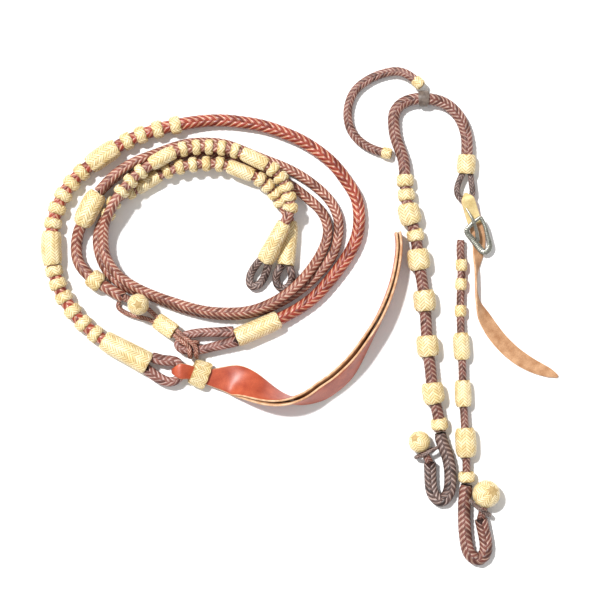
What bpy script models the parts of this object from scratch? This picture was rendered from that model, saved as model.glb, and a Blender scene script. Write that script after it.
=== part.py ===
"""Braided leather romal reins with their matching one-ear headstall, laid out flat.

The set is two rein cords that join in a yoke, a romal (the long tail with its leather popper)
buttoned to the yoke by a sliding connector, and a headstall with a crown, an ear loop, a
buckled right cheek and two bit ends.  Cords are round plaits, buttons are hollow woven sleeves
that the cords run through.  Routes are in millimetres, everything else is in metres.
"""

import math

import bmesh
import bpy
import numpy as np
from mathutils import Vector

MM = 0.001
ORIGIN = (0.1, 4.6, 0.0)        # the middle of the layout, in the millimetres of the routes

# ---- driving dimensions, metres ---------------------------------------------------------

GAP = 0.0003                    # between pieces that touch
FOLD_CLEAR = 0.0010             # between a loop and the leather folded round it
LOOP_CLEAR = 0.0014             # between a button's face and the loop that leaves it
BUTTON_EASE = 0.0009            # between a cord and the sleeve of a button on it
BUTTON_SIDES = 10
CORD_STEP = 0.0155              # between the points of a cord

ROMAL_R = 0.0070                # plaited cords
REIN_R = 0.0056
YOKE_R = 0.0065
HEADSTALL_R = 0.0066
RIGHT_CHEEK_R = 0.0045
EAR_LOOP_R = 0.0050
CONNECTOR_R = 0.0026            # the doubled strand that links reins and romal
EYELET_R = 0.0022

START_LOOP_R = 0.0042           # end loops
END_LOOP_R = 0.0062
REIN_LOOP_R = 0.0044
CROWN_LOOP_R = 0.0034
LEFT_BIT_R = 0.0070
RIGHT_BIT_R = 0.0073

ROMAL_SMALL = (0.0096, 0.0112)  # buttons: outer radius, length along the cord
ROMAL_LONG = (0.0109, 0.0350)
ROMAL_START = (0.0104, 0.0490)
ROMAL_END = (0.0124, 0.0540)
REIN_SMALL = (0.0084, 0.0088)
REIN_LONG = (0.0080, 0.0285)
REIN_END = (0.0098, 0.0460)
JOIN_BUTTON = (0.0119, 0.0370)
YOKE_BUTTON = (0.0104, 0.0150)
CHEEK_SMALL = (0.0092, 0.0125)
CHEEK_LONG = (0.0118, 0.0215)
RIGHT_SMALL = (0.0064, 0.0125)
RIGHT_LONG = (0.0089, 0.0280)
RIGHT_LOW_LONG = (0.0112, 0.0300)
RIGHT_END_SMALL = (0.0089, 0.0115)
EAR_BUTTON = (0.0062, 0.0110)
CROWN_END = (0.0098, 0.0200)
CROWN_BAND = (0.0086, 0.0100)

YOKE_KNOB_R = 0.0114
LEFT_KNOB_R = 0.0116
RIGHT_KNOB_R = 0.0146
NECK_R = 0.0044                 # between a knob and its cord
RIGHT_NECK_R = 0.0048

POPPER_LEATHER = 0.0034         # thickness of one layer
POPPER_WIDTH = 0.0330
POPPER_BUTTON = [               # share of its length, half width, half height
    (0, 0.0126, 0.0109), (0.2, 0.0140, 0.0108), (0.8, 0.0148, 0.0088), (1, 0.0141, 0.0078),
]
POPPER_BUTTON_WALL = 0.0012
LOOP_TIP_SHARE = 0.78           # the end loop is thinner where the popper's fold holds it
BILLET_LEATHER = 0.0026
BILLET_WIDTH = 0.0150
BUCKLE_WIRE_R = 0.0017
TONGUE_R = 0.0015
KEEPER_LENGTH = 0.0240
KEEPER_WALL = 0.0022

# ---- where the buttons sit: distance along their cord, metres -----------------------------

ROMAL_ROWS = [
    (0.4325, 0.4515, 0.4700, 0.4860),
    (0.5435, 0.5590, 0.5745, 0.5900, 0.6060),
    (0.6560, 0.6700, 0.6855, 0.7025, 0.7195, 0.7365),
]
ROMAL_LONG_AT = (0.5155, 0.6320)
REIN_A_ROWS = [
    (0.0630, 0.0740, 0.0845, 0.0960, 0.1080),
    (0.1520, 0.1665, 0.1800, 0.1935, 0.2075),
    (0.2575, 0.2720, 0.2865),
]
REIN_A_LONG_AT = (0.1300, 0.2310)
REIN_B_ROWS = [
    (0.0690, 0.0800, 0.0910, 0.1020),
    (0.1470, 0.1610, 0.1750, 0.1890, 0.2030),
    (0.2480, 0.2700, 0.2830),
]
REIN_B_LONG_AT = (0.1245, 0.2265)
YOKE_BUTTON_AT = 0.1060
CROWN_END_AT = 0.0105
CROWN_BAND_AT = 0.1060
LEFT_UPPER = [(0.2150, CHEEK_SMALL), (0.2300, CHEEK_SMALL), (0.2505, CHEEK_LONG),
              (0.2735, CHEEK_SMALL)]
LEFT_LONG_AT = (0.2990, 0.3425, 0.3900)
LEFT_LOWER = [(0.4395, CHEEK_LONG), (0.4730, CHEEK_SMALL)]
RIGHT_UPPER = [(0.0265, RIGHT_SMALL), (0.0465, RIGHT_SMALL), (0.0745, RIGHT_SMALL),
               (0.1115, RIGHT_LONG)]
RIGHT_LONG_AT = 0.1610
RIGHT_LOWER = [(0.2120, RIGHT_LOW_LONG), (0.2485, RIGHT_END_SMALL)]

# ---- routes of the cords, millimetres ---------------------------------------------------

ROMAL_ROUTE = [
    (-67, -18.7, 10.9), (-45, -9.3, 10.9), (-24, 0.1, 10.4), (-3, 11, 7.6), (15, 24, 7.1),
    (30, 40, 7.1), (44, 58, 7.1), (55, 76, 7.1), (61, 93, 7.1), (62, 110, 7.1),
    (59, 128, 7.1), (49, 145, 7.1), (37, 161, 7.1), (20, 176, 7.1), (1, 188, 7.1),
    (-17, 196, 7.1), (-38, 203, 7.1), (-60, 207, 7.1), (-83, 209, 7.1), (-104, 208, 7.8),
    (-124, 205, 9.6), (-150, 199, 9.8), (-181, 187, 9.8), (-207, 171, 10.8), (-229, 154, 9.8),
    (-248, 130, 9.8), (-258, 103, 9.8), (-260, 74, 10.8), (-255, 43, 9.8), (-243, 17, 9.8),
    (-225, -5, 9.8), (-209, -18, 10.4), (-182, -33, 12.4), (-158, -46, 12.4),
]
REIN_A_ROUTE = [
    (-36.5, 62, 14.0), (-25.5, 83, 22.8), (-15, 103, 25.5), (-10, 118, 26.2), (-12, 129, 26.2),
    (-20, 148, 26.6), (-30, 158, 27.0), (-46, 167, 26.6), (-66, 176, 23.5), (-88, 180, 20.8),
    (-109, 180, 20.6), (-127, 176.5, 22.4), (-144, 168.5, 25.4), (-166, 154, 25.8),
    (-185, 134.5, 26.4), (-191.5, 125, 26.8), (-196.5, 116, 25.8), (-202, 104, 21.8),
    (-205, 85, 16.4), (-202, 66, 16.9), (-193, 51, 17.1), (-158, 28, 17.1), (-130, 18, 17.1),
    (-103, 10.5, 17.1), (-76, 8, 17.1), (-50, 10.5, 17.1), (-28, 19, 17.1), (-12, 29, 17.1),
    (2, 42, 15.4), (14, 57, 11.0), (24, 74, 6.6), (29, 93, 5.8), (24, 111, 5.8),
    (10, 126, 5.8), (-20, 147, 5.8), (-40, 155.5, 5.8), (-62, 165, 5.8), (-82, 172.5, 5.8),
    (-105, 173.5, 5.8), (-125, 171.5, 5.8), (-144, 167, 5.8), (-160, 163, 5.8),
    (-178, 158, 5.9), (-196, 147.5, 6.4), (-208.8, 135, 6.9),
]
REIN_B_ROUTE = [
    (-15, 57, 10.2), (-12, 79, 9.0), (-11, 103, 8.5), (-16, 116, 8.6), (-26, 132, 12.0),
    (-43, 147.5, 17.6), (-61, 155.5, 18.0), (-83, 162.5, 16.8), (-105, 162.8, 16.3),
    (-125, 160, 15.2), (-141, 154.5, 12.6), (-159, 145, 9.4), (-176, 135, 8.6),
    (-186, 131, 8.6), (-193, 126, 8.6), (-197.6, 116, 8.6), (-203.5, 107.5, 8.2),
    (-209.5, 97, 6.6), (-212, 85, 5.8), (-209, 66, 5.8), (-200, 49, 5.8), (-184, 36, 5.8),
    (-158, 26, 5.8), (-132, 15.5, 5.8), (-76, 5, 5.8), (-50, 7.6, 5.8), (-29, 14.7, 5.8),
    (8, 38, 5.8), (23, 53, 5.8), (35, 70, 5.8), (40, 88, 5.8), (40, 106, 5.8),
    (32, 124, 5.8), (17, 139.5, 5.8), (-13, 158.5, 5.8), (-34, 167, 5.8), (-60, 177.5, 5.8),
    (-81, 184.5, 5.8), (-98, 186, 5.8), (-116, 185, 5.9), (-132, 181, 8.6),
    (-150, 174, 14.0), (-163, 169, 17.6), (-178, 162, 18.4), (-195, 150, 18.6),
    (-208.9, 135.3, 18.8),
]
YOKE_ROUTE = [
    (-210.5, 133, 13.4), (-217.5, 121, 14.6), (-225, 106, 14.6), (-231.5, 92, 9.6),
    (-234, 77, 6.9), (-232, 62, 7.8), (-224, 50, 10.6), (-213, 41, 11.2), (-203, 34.5, 10.8),
    (-193, 28.5, 10.6), (-184.5, 24, 10.6),
]
CONNECTOR_UPPER = [              # from the yoke, through the keeper, over the romal's loop
    (-180.5, 19.5, 4.4), (-172, 17.5, 5.8), (-163, 14, 7.0), (-155.5, 8.4, 7.9),
    (-148.7, 2.3, 8.8), (-137.6, -5.1, 12.2), (-126.6, -12.4, 15.6), (-119.6, -18.8, 18.5),
    (-112.5, -25.5, 18.6),
]
CONNECTOR_LOWER = [
    (-189.5, 19, 2.9), (-190.5, 14.2, 3.2), (-186, 9.4, 4.2), (-176, 5, 5.8),
    (-163, 1.8, 7.5), (-151.7, -2.3, 8.8), (-140.6, -9.7, 12.2), (-129.6, -17, 15.6),
    (-123.5, -22, 18.5), (-117.5, -26.5, 18.6),
]
START_LOOP_ROUTE = [
    (-71.3, -11.9, 10.4), (-86, -12.6, 10.3), (-101, -13, 10.3), (-113, -14.3, 10.3),
    (-123, -18, 10.3), (-127.5, -25, 10.3), (-123.5, -30.6, 10.3), (-116, -31, 10.3),
    (-110, -31, 10.3), (-104, -31, 10.3), (-93, -28.6, 10.3), (-82, -26, 10.3),
    (-67.4, -22.3, 10.4),
]
LINK_CENTRE = (-113, -31, 10.3)  # the romal's leg that the connector turns round
RING_OFFSETS = (0.0046, -0.0022)  # metres along the leg, of its two turns
RING_TURN = (84, 360, 9)        # first angle, last angle and number of steps
YOKE_KNOB_CENTRE = (-168.3, 16.4, 26.0)
KEEPER_START = (-150.2, 0, 8.8)
KEEPER_END = (-128.1, -14.7, 15.6)
END_LOOP_ROUTE = [
    (-153, -39.2, 11.8), (-143, -42, 11.1), (-134.5, -42.6, 11.0), (-128.2, -44.6, 11.0),
    (-124.6, -50.6, 11.0), (-124.6, -56.0, 11.0), (-128.4, -62.0, 11.0), (-134.6, -64.5, 11.0),
    (-146.0, -61.4, 11.1), (-159.4, -52.1, 11.8),
]
POPPER_PIVOT = (-124.4, -53.3, 11.0)
POPPER_BUTTON_START = (-112.8, -53.2, 11.0)
POPPER_BUTTON_END = (-96.4, -59.4, 8.0)
HEADSTALL_ROUTE = [
    (173.4, 152.5, 9.8), (174.3, 168, 9.9), (174.8, 182, 9.4), (173.8, 195, 7.2), (169, 209, 6.7),
    (160.7, 220, 6.7), (149, 228, 7.2), (137.5, 231, 8.8), (126, 231.7, 9.0),
    (114.5, 230, 7.6), (104.5, 224.7, 6.7), (99, 216.3, 6.7), (98.2, 205.8, 6.7),
    (99.8, 193.2, 6.7), (104, 180.6, 6.7), (108.2, 168, 7.2), (109.5, 157, 8.8),
    (110, 145, 9.6), (111.3, 130.2, 10.2), (114.5, 110.3, 12.0), (120.8, 88.2, 11.2),
    (124, 63, 11.9), (127.6, 41, 11.4), (130.2, 20, 11.9), (131.8, -3, 11.4),
    (133.4, -27.3, 12.0), (136.5, -52.5, 11.4), (139.2, -76.7, 12.1), (143.3, -94.5, 10.8),
    (146, -109.2, 9.5), (146.5, -116.5, 9.4),
]
EAR_LOOP_ROUTE = [
    (127, 244.5, 14.5), (117, 253.5, 12.5), (104, 260, 8.0), (88, 258.5, 5.4),
    (69.5, 250.5, 5.2), (57.5, 240, 5.2), (51.5, 227, 5.2), (50, 214, 5.2), (52.5, 201.5, 5.2),
    (59.5, 190.5, 5.2), (69.5, 182.5, 5.2), (82, 177, 5.8), (95.6, 173.7, 7.4),
]
RIGHT_CHEEK_ROUTE = [
    (168.5, 84, 7.2), (168, 73, 7.0), (169, 57.8, 6.9), (168.6, 37.8, 6.9), (168, 9.5, 6.9),
    (168.4, -9, 8.0), (169, -27.3, 9.3), (170, -52.5, 8.8), (170.6, -76.7, 9.1),
    (172, -104, 10.4), (173.3, -128, 11.3), (174, -148, 10.0), (174.3, -163.8, 9.1),
    (174.5, -170.5, 9.0),
]
CROWN_LOOP_ROUTE = [
    (169.2, 151.7, 9.6), (165.6, 143, 9.2), (164.2, 135, 9.0), (166.6, 128.4, 9.0),
    (171.0, 125.6, 9.0), (175, 126.1, 9.0), (178.6, 128.4, 9.0), (180.4, 132.6, 9.0),
    (179.8, 141, 9.2), (178.6, 151.7, 9.6),
]
CROWN_LOOP_PIVOT = (175.0, 126.4, 9.0)
LEFT_BIT_ROUTE = [
    (146.8, -118.4, 9.0), (148.6, -127, 8.2), (153.4, -139.5, 7.4), (157, -155.5, 7.2),
    (157.4, -171, 7.2), (154.5, -183, 7.2), (147.4, -189, 7.2), (140, -183, 7.2),
    (137, -171.5, 7.2), (136.4, -158, 7.4), (136, -149.4, 8.4),
]
LEFT_KNOB_CENTRE = (124.8, -127.2, 11.8)
LEFT_EYELET_ROUTE = [
    (143.2, -133.2, 14.2), (139.5, -135, 16.2), (134, -137.6, 17.0), (127.5, -140.8, 16.2),
    (122.3, -143.4, 12.5), (121.4, -143.8, 9.0), (123, -143, 5.2), (128, -140.6, 2.8),
    (134, -137.6, 2.4), (139.5, -135, 2.6),
]
RIGHT_BIT_ROUTE = [
    (174.4, -172.5, 8.8), (173, -182, 8.0), (172, -197, 7.5), (172.3, -215, 7.5),
    (174.3, -234, 7.5), (179.3, -246.5, 7.5), (186.6, -250.2, 7.5), (193.2, -245, 7.5),
    (194.7, -234.5, 7.5), (192.4, -221, 7.6), (189.4, -208.4, 9.0),
]
RIGHT_KNOB_CENTRE = (194.4, -181.6, 14.8)
RIGHT_EYELET_ROUTE = [
    (176.5, -187, 19.4), (181, -191.5, 20.2), (187, -196.6, 20.0), (193.2, -201, 18.0),
    (197.4, -203.4, 13.6), (198.2, -203.6, 9.0), (195.5, -202, 4.6), (190, -198.6, 2.6),
    (185, -195.5, 2.4),
]
POPPER_ROUTE = [                 # x, y, width as a share of the full width, roll in degrees
    (-110.4, -55.0, 0.37, 0), (-94, -59.9, 0.52, 0), (-68, -63, 1.0, 4), (-48, -71.5, 1.0, 40),
    (-24, -81.5, 1.0, 72), (-3, -83.5, 1.0, 98), (23, -73.5, 1.0, 118), (47, -54.5, 0.98, 116),
    (61.5, -34.5, 0.95, 104), (73, -15, 0.92, 96), (81.5, 0, 0.9, 92), (91, 21, 0.86, 90),
    (98.5, 44, 0.82, 90), (102.4, 65, 0.78, 90), (103.4, 82, 0.72, 90), (102.2, 91, 0.66, 90),
]
POPPER_START_HEIGHTS = (9.2, 7.8)   # its first points are carried by the button
BILLET_UNDER = (178.6, 113.5, 1.7)  # where the end folded under the billet stops
BILLET_ROUTE = [                 # x, y, z, width as a share, roll in degrees
    (180, 112, 5.2, 1.0, 0), (184.5, 98, 4.4, 1.0, 0), (187.5, 84, 3.6, 0.95, 4),
    (186.5, 68, 4.6, 0.85, 30), (184.6, 52, 7.4, 0.8, 78), (184.2, 36, 7.6, 0.8, 90),
    (186.5, 18, 7.2, 0.85, 70), (193, 3, 4.4, 1.0, 22), (203.5, -13.5, 2.2, 1.08, 4),
    (217, -29, 1.7, 1.1, 0), (233.5, -42, 1.7, 1.05, 0), (249.5, -50.5, 1.7, 0.9, 0),
    (262.5, -55.8, 1.7, 0.66, 0), (270.5, -59.3, 1.7, 0.2, 0),
]
BUCKLE_ROUTE = [
    (188.6, 107.5, 14.5), (193, 99, 13.6), (196.6, 86, 11.8), (197.4, 74.5, 9.6),
    (193.6, 71.4, 9.0), (185.8, 77.6, 9.2), (177.8, 87.4, 10.2), (174.4, 93.6, 11.6),
    (177.6, 98.4, 13.0), (183, 103.6, 14.2),
]
TONGUE_ROUTE = [
    (185.6, 82.4, 12.6), (184.6, 91, 15.6), (181.6, 101, 17.8), (177.6, 109.6, 17.2),
    (173.6, 116.6, 15.6),
]

# angle round the end loop's tip and the strap's width there
FOLD_WIDTHS = [
    (68, 0.0124), (92, 0.0118), (118, 0.0084), (145, 0.0060), (180, 0.0052), (215, 0.0060),
    (242, 0.0084), (268, 0.0090), (292, 0.0082),
]

# angle round the crown loop's tip and the strap's width there
BILLET_FOLD = [
    (-68, 0.0116), (-98, 0.0086), (-128, 0.0050), (-160, 0.0034), (-193, 0.0034), (-225, 0.0050),
    (-255, 0.0092), (-285, 0.0125),
]


# ---- curves and meshes ------------------------------------------------------------------


class Route:
    """A smooth curve through hand-placed points, measured along its length."""

    SAMPLES = 24

    def __init__(self, points):
        knots = (np.array(points, float) - ORIGIN) * MM
        spans = np.linalg.norm(np.diff(knots, axis=0), axis=1)
        count = len(knots)
        matrix = np.eye(count)
        right = np.zeros((count, 3))
        for i in range(1, count - 1):
            matrix[i, i - 1:i + 2] = spans[i - 1], 2 * (spans[i - 1] + spans[i]), spans[i]
            before = (knots[i] - knots[i - 1]) / spans[i - 1]
            after = (knots[i + 1] - knots[i]) / spans[i]
            right[i] = 6 * (after - before)
        bend = np.linalg.solve(matrix, right)
        fine = []
        for i, span in enumerate(spans):
            last = i == len(spans) - 1
            for t in np.linspace(0, 1, self.SAMPLES, endpoint=last):
                a = 1 - t
                curve = (a ** 3 - a) * bend[i] + (t ** 3 - t) * bend[i + 1]
                fine.append(a * knots[i] + t * knots[i + 1] + curve * span ** 2 / 6)
        self.fine = np.array(fine)
        steps = np.linalg.norm(np.diff(self.fine, axis=0), axis=1)
        self.along = np.concatenate([[0.0], np.cumsum(steps)])
        self.length = float(self.along[-1])

    def at(self, s):
        return Vector([float(np.interp(s, self.along, self.fine[:, i])) for i in range(3)])

    def tangent(self, s):
        reach = 0.0008
        low = max(0.0, s - reach)
        high = min(self.length, s + reach)
        return (self.at(high) - self.at(low)).normalized()

    def frame(self, s):
        """The point, its forward direction, and the level and upright directions across it."""
        forward = self.tangent(s)
        side = forward.cross(Vector((0, 0, 1))).normalized()
        return self.at(s), forward, side, side.cross(forward)

    def points(self, start, end, step):
        count = max(2, round((end - start) / step) + 1)
        return [self.at(s) for s in np.linspace(start, end, count)]


def vec(point):
    """A place in metres from one in the millimetres of the routes."""
    return (Vector(point) - Vector(ORIGIN)) * MM


def in_route_units(place):
    return tuple(place / MM + Vector(ORIGIN))


def clear_scene():
    for old in list(bpy.data.objects):
        bpy.data.objects.remove(old, do_unlink=True)


def new_collection(name):
    group = bpy.data.collections.new(name)
    bpy.context.scene.collection.children.link(group)
    return group


def new_material(name, colour, roughness, metallic=0.0):
    material = bpy.data.materials.new(name)
    material.use_nodes = True
    shader = material.node_tree.nodes["Principled BSDF"]
    shader.inputs["Base Color"].default_value = (*colour, 1.0)
    shader.inputs["Roughness"].default_value = roughness
    shader.inputs["Metallic"].default_value = metallic
    return material


def finish(obj, material):
    obj.data.materials.append(material)
    SET.objects.link(obj)
    return obj


def cord(name, points, radius, material, cyclic=False, sides=2, tapers=None):
    """A round cord along the points: a bevelled curve with filled ends."""
    data = bpy.data.curves.new(name, "CURVE")
    data.dimensions = "3D"
    data.resolution_u = 1
    data.render_resolution_u = 0
    data.bevel_depth = radius
    data.bevel_resolution = sides
    data.use_fill_caps = not cyclic
    spline = data.splines.new("POLY")
    spline.points.add(len(points) - 1)
    spline.use_cyclic_u = cyclic
    for i, (target, point) in enumerate(zip(spline.points, points)):
        target.co = (*point, 1.0)
        target.radius = 1.0 if tapers is None else tapers[i]
    return finish(bpy.data.objects.new(name, data), material)


def route_cord(name, points, radius, material, step=CORD_STEP, start=0.0, end=None):
    route = Route(points)
    stop = route.length if end is None else end
    cord(name, route.points(start, stop, step), radius, material)
    return route


def loft(name, rings, material, closed=False):
    """A skin over rings of points: capped at both ends, or closed on itself like a sleeve."""
    shape = bmesh.new()
    loops = [[shape.verts.new(point) for point in ring] for ring in rings]
    pairs = list(zip(loops, loops[1:]))
    if closed:
        pairs.append((loops[-1], loops[0]))
    sides = len(rings[0])
    for first, second in pairs:
        for i in range(sides):
            j = (i + 1) % sides
            shape.faces.new((first[i], first[j], second[j], second[i]))
    if not closed:
        shape.faces.new(loops[0][::-1])
        shape.faces.new(loops[-1])
    bmesh.ops.recalc_face_normals(shape, faces=shape.faces)
    mesh = bpy.data.meshes.new(name)
    shape.to_mesh(mesh)
    shape.free()
    mesh.shade_smooth()
    mesh.set_sharp_from_angle(angle=math.radians(40))
    return finish(bpy.data.objects.new(name, mesh), material)


def oval_ring(centre, side, up, half_width, half_height, sides=BUTTON_SIDES):
    """One ring of a sleeve, turned so that a flat side faces down."""
    ring = []
    for i in range(sides):
        angle = math.tau * (i + 0.5) / sides - math.pi / 2
        ring.append(centre + side * half_width * math.cos(angle)
                    + up * half_height * math.sin(angle))
    return ring


def sleeve(name, route, stations, inner, material):
    """A hollow button on a cord: stations are (distance along the route, outer radius)."""
    rings = []
    for s, radius in stations:
        centre, _, side, up = route.frame(s)
        rings.append(oval_ring(centre, side, up, radius, radius))
    start = stations[0][0]
    end = stations[-1][0]
    bore = (inner + BUTTON_EASE) / math.cos(math.pi / BUTTON_SIDES)
    count = max(2, round((end - start) / 0.009) + 1)
    for s in np.linspace(end, start, count):
        centre, _, side, up = route.frame(s)
        rings.append(oval_ring(centre, side, up, bore, bore))
    return loft(name, rings, material, closed=True)


def barrel(middle, size, end_share=0.80):
    """Stations of one barrel-shaped button round the distance given."""
    radius, length = size
    half = length / 2
    shoulder = half - min(0.32 * length, 0.006)
    return [(middle - half, radius * end_share), (middle - shoulder, radius),
            (middle + shoulder, radius), (middle + half, radius * end_share)]


def button(name, route, middle, size, inner, material, end_share=0.80):
    bore = (inner + BUTTON_EASE) / math.cos(math.pi / BUTTON_SIDES)
    stations = [(s, max(r, bore + 0.0005)) for s, r in barrel(middle, size, end_share)]
    return sleeve(name, route, stations, inner, material)


def button_group(name, route, buttons, inner, material):
    """Buttons, each (distance along, size), on one thin woven foundation: one sleeve."""
    base = (inner + BUTTON_EASE) / math.cos(math.pi / BUTTON_SIDES) + 0.0005
    stations = []
    for middle, (radius, length) in buttons:
        half = length / 2
        shoulder = half - min(0.19 * length, 0.003)
        stations += [(middle - half, base), (middle - shoulder, radius),
                     (middle + shoulder, radius), (middle + half, base)]
    return sleeve(name, route, stations, inner, material)


def tapered_button(name, route, start, end, start_r, end_r, inner, material):
    lead = 0.003
    stations = [(start, start_r * 0.92), (start + lead, start_r),
                (end - lead, end_r), (end, end_r * 0.92)]
    return sleeve(name, route, stations, inner, material)


def ball_profile(radius, neck, steps=6):
    """Distance and radius of the rings of a ball, from its tip to where its neck begins."""
    stop = math.pi - math.asin(neck / radius)
    rings = []
    for i in range(steps + 1):
        turn = 0.32 + (stop - 0.32) * i / steps
        rings.append((radius * (1 - math.cos(turn)), radius * math.sin(turn)))
    return rings


def knob(name, centre, foot, facing, radius, neck, material, sides=12):
    """A round button whose neck ends at the foot, square to the direction that it faces."""
    axis = (foot - centre).normalized()
    side = axis.cross(facing).normalized()
    up = axis.cross(side)
    tip = centre - axis * radius
    rings = []
    for distance, ring_radius in ball_profile(radius, neck):
        rings.append(oval_ring(tip + axis * distance, side, up, ring_radius, ring_radius, sides))
    rings.append(oval_ring(foot, side, facing.cross(side) * -1, neck, neck, sides))
    return loft(name, rings, material)


def strap(name, sections, thickness, material):
    """A flat strap: sections are (centre, direction across, direction of its face, width)."""
    rings = []
    for centre, across, face, width in sections:
        half = across * width / 2
        rise = face * thickness / 2
        rings.append([centre - half - rise, centre + half - rise,
                      centre + half + rise, centre - half + rise])
    return loft(name, rings, material)


def strap_line(points, step):
    """Sections along a strap's route: points are x, y, z, width and roll."""
    route = Route([point[:3] for point in points])
    knots = [route.along[i * Route.SAMPLES] for i in range(len(points) - 1)] + [route.length]
    widths = [point[3] for point in points]
    rolls = [point[4] for point in points]
    count = round(route.length / step) + 1
    sections = []
    for s in np.linspace(0, route.length, count):
        centre, forward, side, up = route.frame(s)
        roll = math.radians(float(np.interp(s, knots, rolls)))
        across = side * math.cos(roll) + up * math.sin(roll)
        face = up * math.cos(roll) - side * math.sin(roll)
        sections.append((centre, across, face, float(np.interp(s, knots, widths))))
    return sections


# ---- materials --------------------------------------------------------------------------


def make_materials():
    return {
        "plait": new_material("plaited_leather", (0.42, 0.13, 0.07), 0.5),
        "rawhide": new_material("rawhide", (0.86, 0.74, 0.45), 0.45),
        "strap": new_material("strap_leather", (0.62, 0.16, 0.07), 0.45),
        "steel": new_material("buckle_steel", (0.72, 0.72, 0.70), 0.25, 1.0),
    }


# ---- the romal --------------------------------------------------------------------------


def make_romal(stuff):
    route = route_cord("romal_cord", ROMAL_ROUTE, ROMAL_R, stuff["plait"], start=0.002)
    tapered_button("romal_start_button", route, 0.0005, ROMAL_START[1], ROMAL_START[0],
                   ROMAL_START[0] * 0.96, ROMAL_R, stuff["rawhide"])
    for number, middles in enumerate(ROMAL_ROWS, 1):
        button_group(f"romal_small_buttons_{number}", route,
                     [(middle, ROMAL_SMALL) for middle in middles], ROMAL_R, stuff["rawhide"])
    for number, middle in enumerate(ROMAL_LONG_AT, 1):
        button(f"romal_long_button_{number}", route, middle, ROMAL_LONG, ROMAL_R,
               stuff["rawhide"], 0.84)
    tapered_button("romal_end_button", route, route.length - ROMAL_END[1], route.length,
                   ROMAL_END[0] * 0.88, ROMAL_END[0], ROMAL_R, stuff["rawhide"])
    route_cord("romal_start_loop", START_LOOP_ROUTE, START_LOOP_R, stuff["plait"], step=0.007)
    route = Route(END_LOOP_ROUTE)
    points = route.points(0, route.length, 0.006)
    thinning = [math.sin(math.pi * i / (len(points) - 1)) ** 4 for i in range(len(points))]
    tapers = [1 - (1 - LOOP_TIP_SHARE) * share for share in thinning]
    cord("romal_end_loop", points, END_LOOP_R, stuff["plait"], tapers=tapers)


def popper_layers():
    """Sections of the whole folded strap: up one layer, round the end loop, down the other."""
    thick = POPPER_LEATHER
    stations = []
    for x, y, share, roll in POPPER_ROUTE:
        width = POPPER_WIDTH * share
        turn = math.radians(roll)
        lift = width / 2 * abs(math.sin(turn)) + thick * 1.2 * abs(math.cos(turn)) + 0.0006
        stations.append((x, y, lift / MM, width, roll))
    for i, height in enumerate(POPPER_START_HEIGHTS):
        stations[i] = (*stations[i][:2], height, *stations[i][3:])
    middle = strap_line(stations, 0.0115)
    count = len(middle) - 1
    upper = []
    lower = []
    for i, (centre, across, face, width) in enumerate(middle):
        spread = thick / 2 + 0.0003 + 0.0009 * math.sin(math.pi * i / count) ** 2
        upper.append((centre + face * spread, across, face, width))
        lower.append((centre - face * spread, across, face, width))
    pivot = vec(POPPER_PIVOT)
    reach = END_LOOP_R * LOOP_TIP_SHARE + 2 * FOLD_CLEAR + thick / 2
    fold = []
    across = Vector((0, -1, 0))
    for angle, width in FOLD_WIDTHS:
        turn = math.radians(angle)
        face = Vector((math.cos(turn), 0, math.sin(turn)))
        fold.append((pivot + face * reach, across, face, width))
    back = [(centre, across, -face, width) for centre, across, face, width in lower]
    return upper[::-1] + fold + back


def make_popper(stuff):
    strap("popper_leather", popper_layers(), POPPER_LEATHER, stuff["strap"])
    start = vec(POPPER_BUTTON_START)
    end = vec(POPPER_BUTTON_END)
    forward = (end - start).normalized()
    side = forward.cross(Vector((0, 0, 1))).normalized()
    up = side.cross(forward)
    rings = []
    for share, half_width, half_height in POPPER_BUTTON:
        rings.append(oval_ring(start.lerp(end, share), side, up, half_width, half_height, 14))
    for share, half_width, half_height in (POPPER_BUTTON[-1], POPPER_BUTTON[0]):
        rings.append(oval_ring(start.lerp(end, share), side, up,
                               half_width - POPPER_BUTTON_WALL,
                               half_height - POPPER_BUTTON_WALL, 14))
    loft("popper_button", rings, stuff["rawhide"], closed=True)


# ---- the reins --------------------------------------------------------------------------


def rein_loop(name, route, hole_width, reach, height, material):
    """A flat end loop that leaves a button's face, goes round and comes back to it."""
    drop = -route.tangent(0.001)
    centre = route.at(0) + drop * LOOP_CLEAR
    out = Vector((drop.x, drop.y, 0)).normalized()
    side = Vector((-out.y, out.x, 0))
    half = hole_width / 2 + REIN_LOOP_R
    root = REIN_LOOP_R + 0.0002
    shape = [(0, root), (0.28, half * 0.92), (0.6, half), (0.86, half * 0.72), (1, 0)]
    stations = shape + [(along, -across) for along, across in shape[-2::-1]]
    points = []
    for along, across in stations:
        point = centre + out * along * (reach - REIN_LOOP_R) + side * across
        fall = centre.z + drop.z * along * reach
        level = max(height, fall) if along < 0.5 else height
        points.append(in_route_units(Vector((point.x, point.y, level))))
    route_cord(name, points, REIN_LOOP_R, material, step=0.0055)


def make_rein(label, points, rows, longs, end_radius, stuff):
    route = route_cord(f"rein_{label}_cord", points, REIN_R, stuff["plait"], start=0.002,
                       end=Route(points).length - 0.0005)
    tapered_button(f"rein_{label}_end_button", route, 0.0005, REIN_END[1], end_radius,
                   end_radius * 0.80, REIN_R, stuff["rawhide"])
    for number, middles in enumerate(rows, 1):
        button_group(f"rein_{label}_small_buttons_{number}", route,
                     [(middle, REIN_SMALL) for middle in middles], REIN_R, stuff["rawhide"])
    for number, middle in enumerate(longs, 1):
        button(f"rein_{label}_long_button_{number}", route, middle, REIN_LONG, REIN_R,
               stuff["rawhide"], 0.9)
    return route


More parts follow.
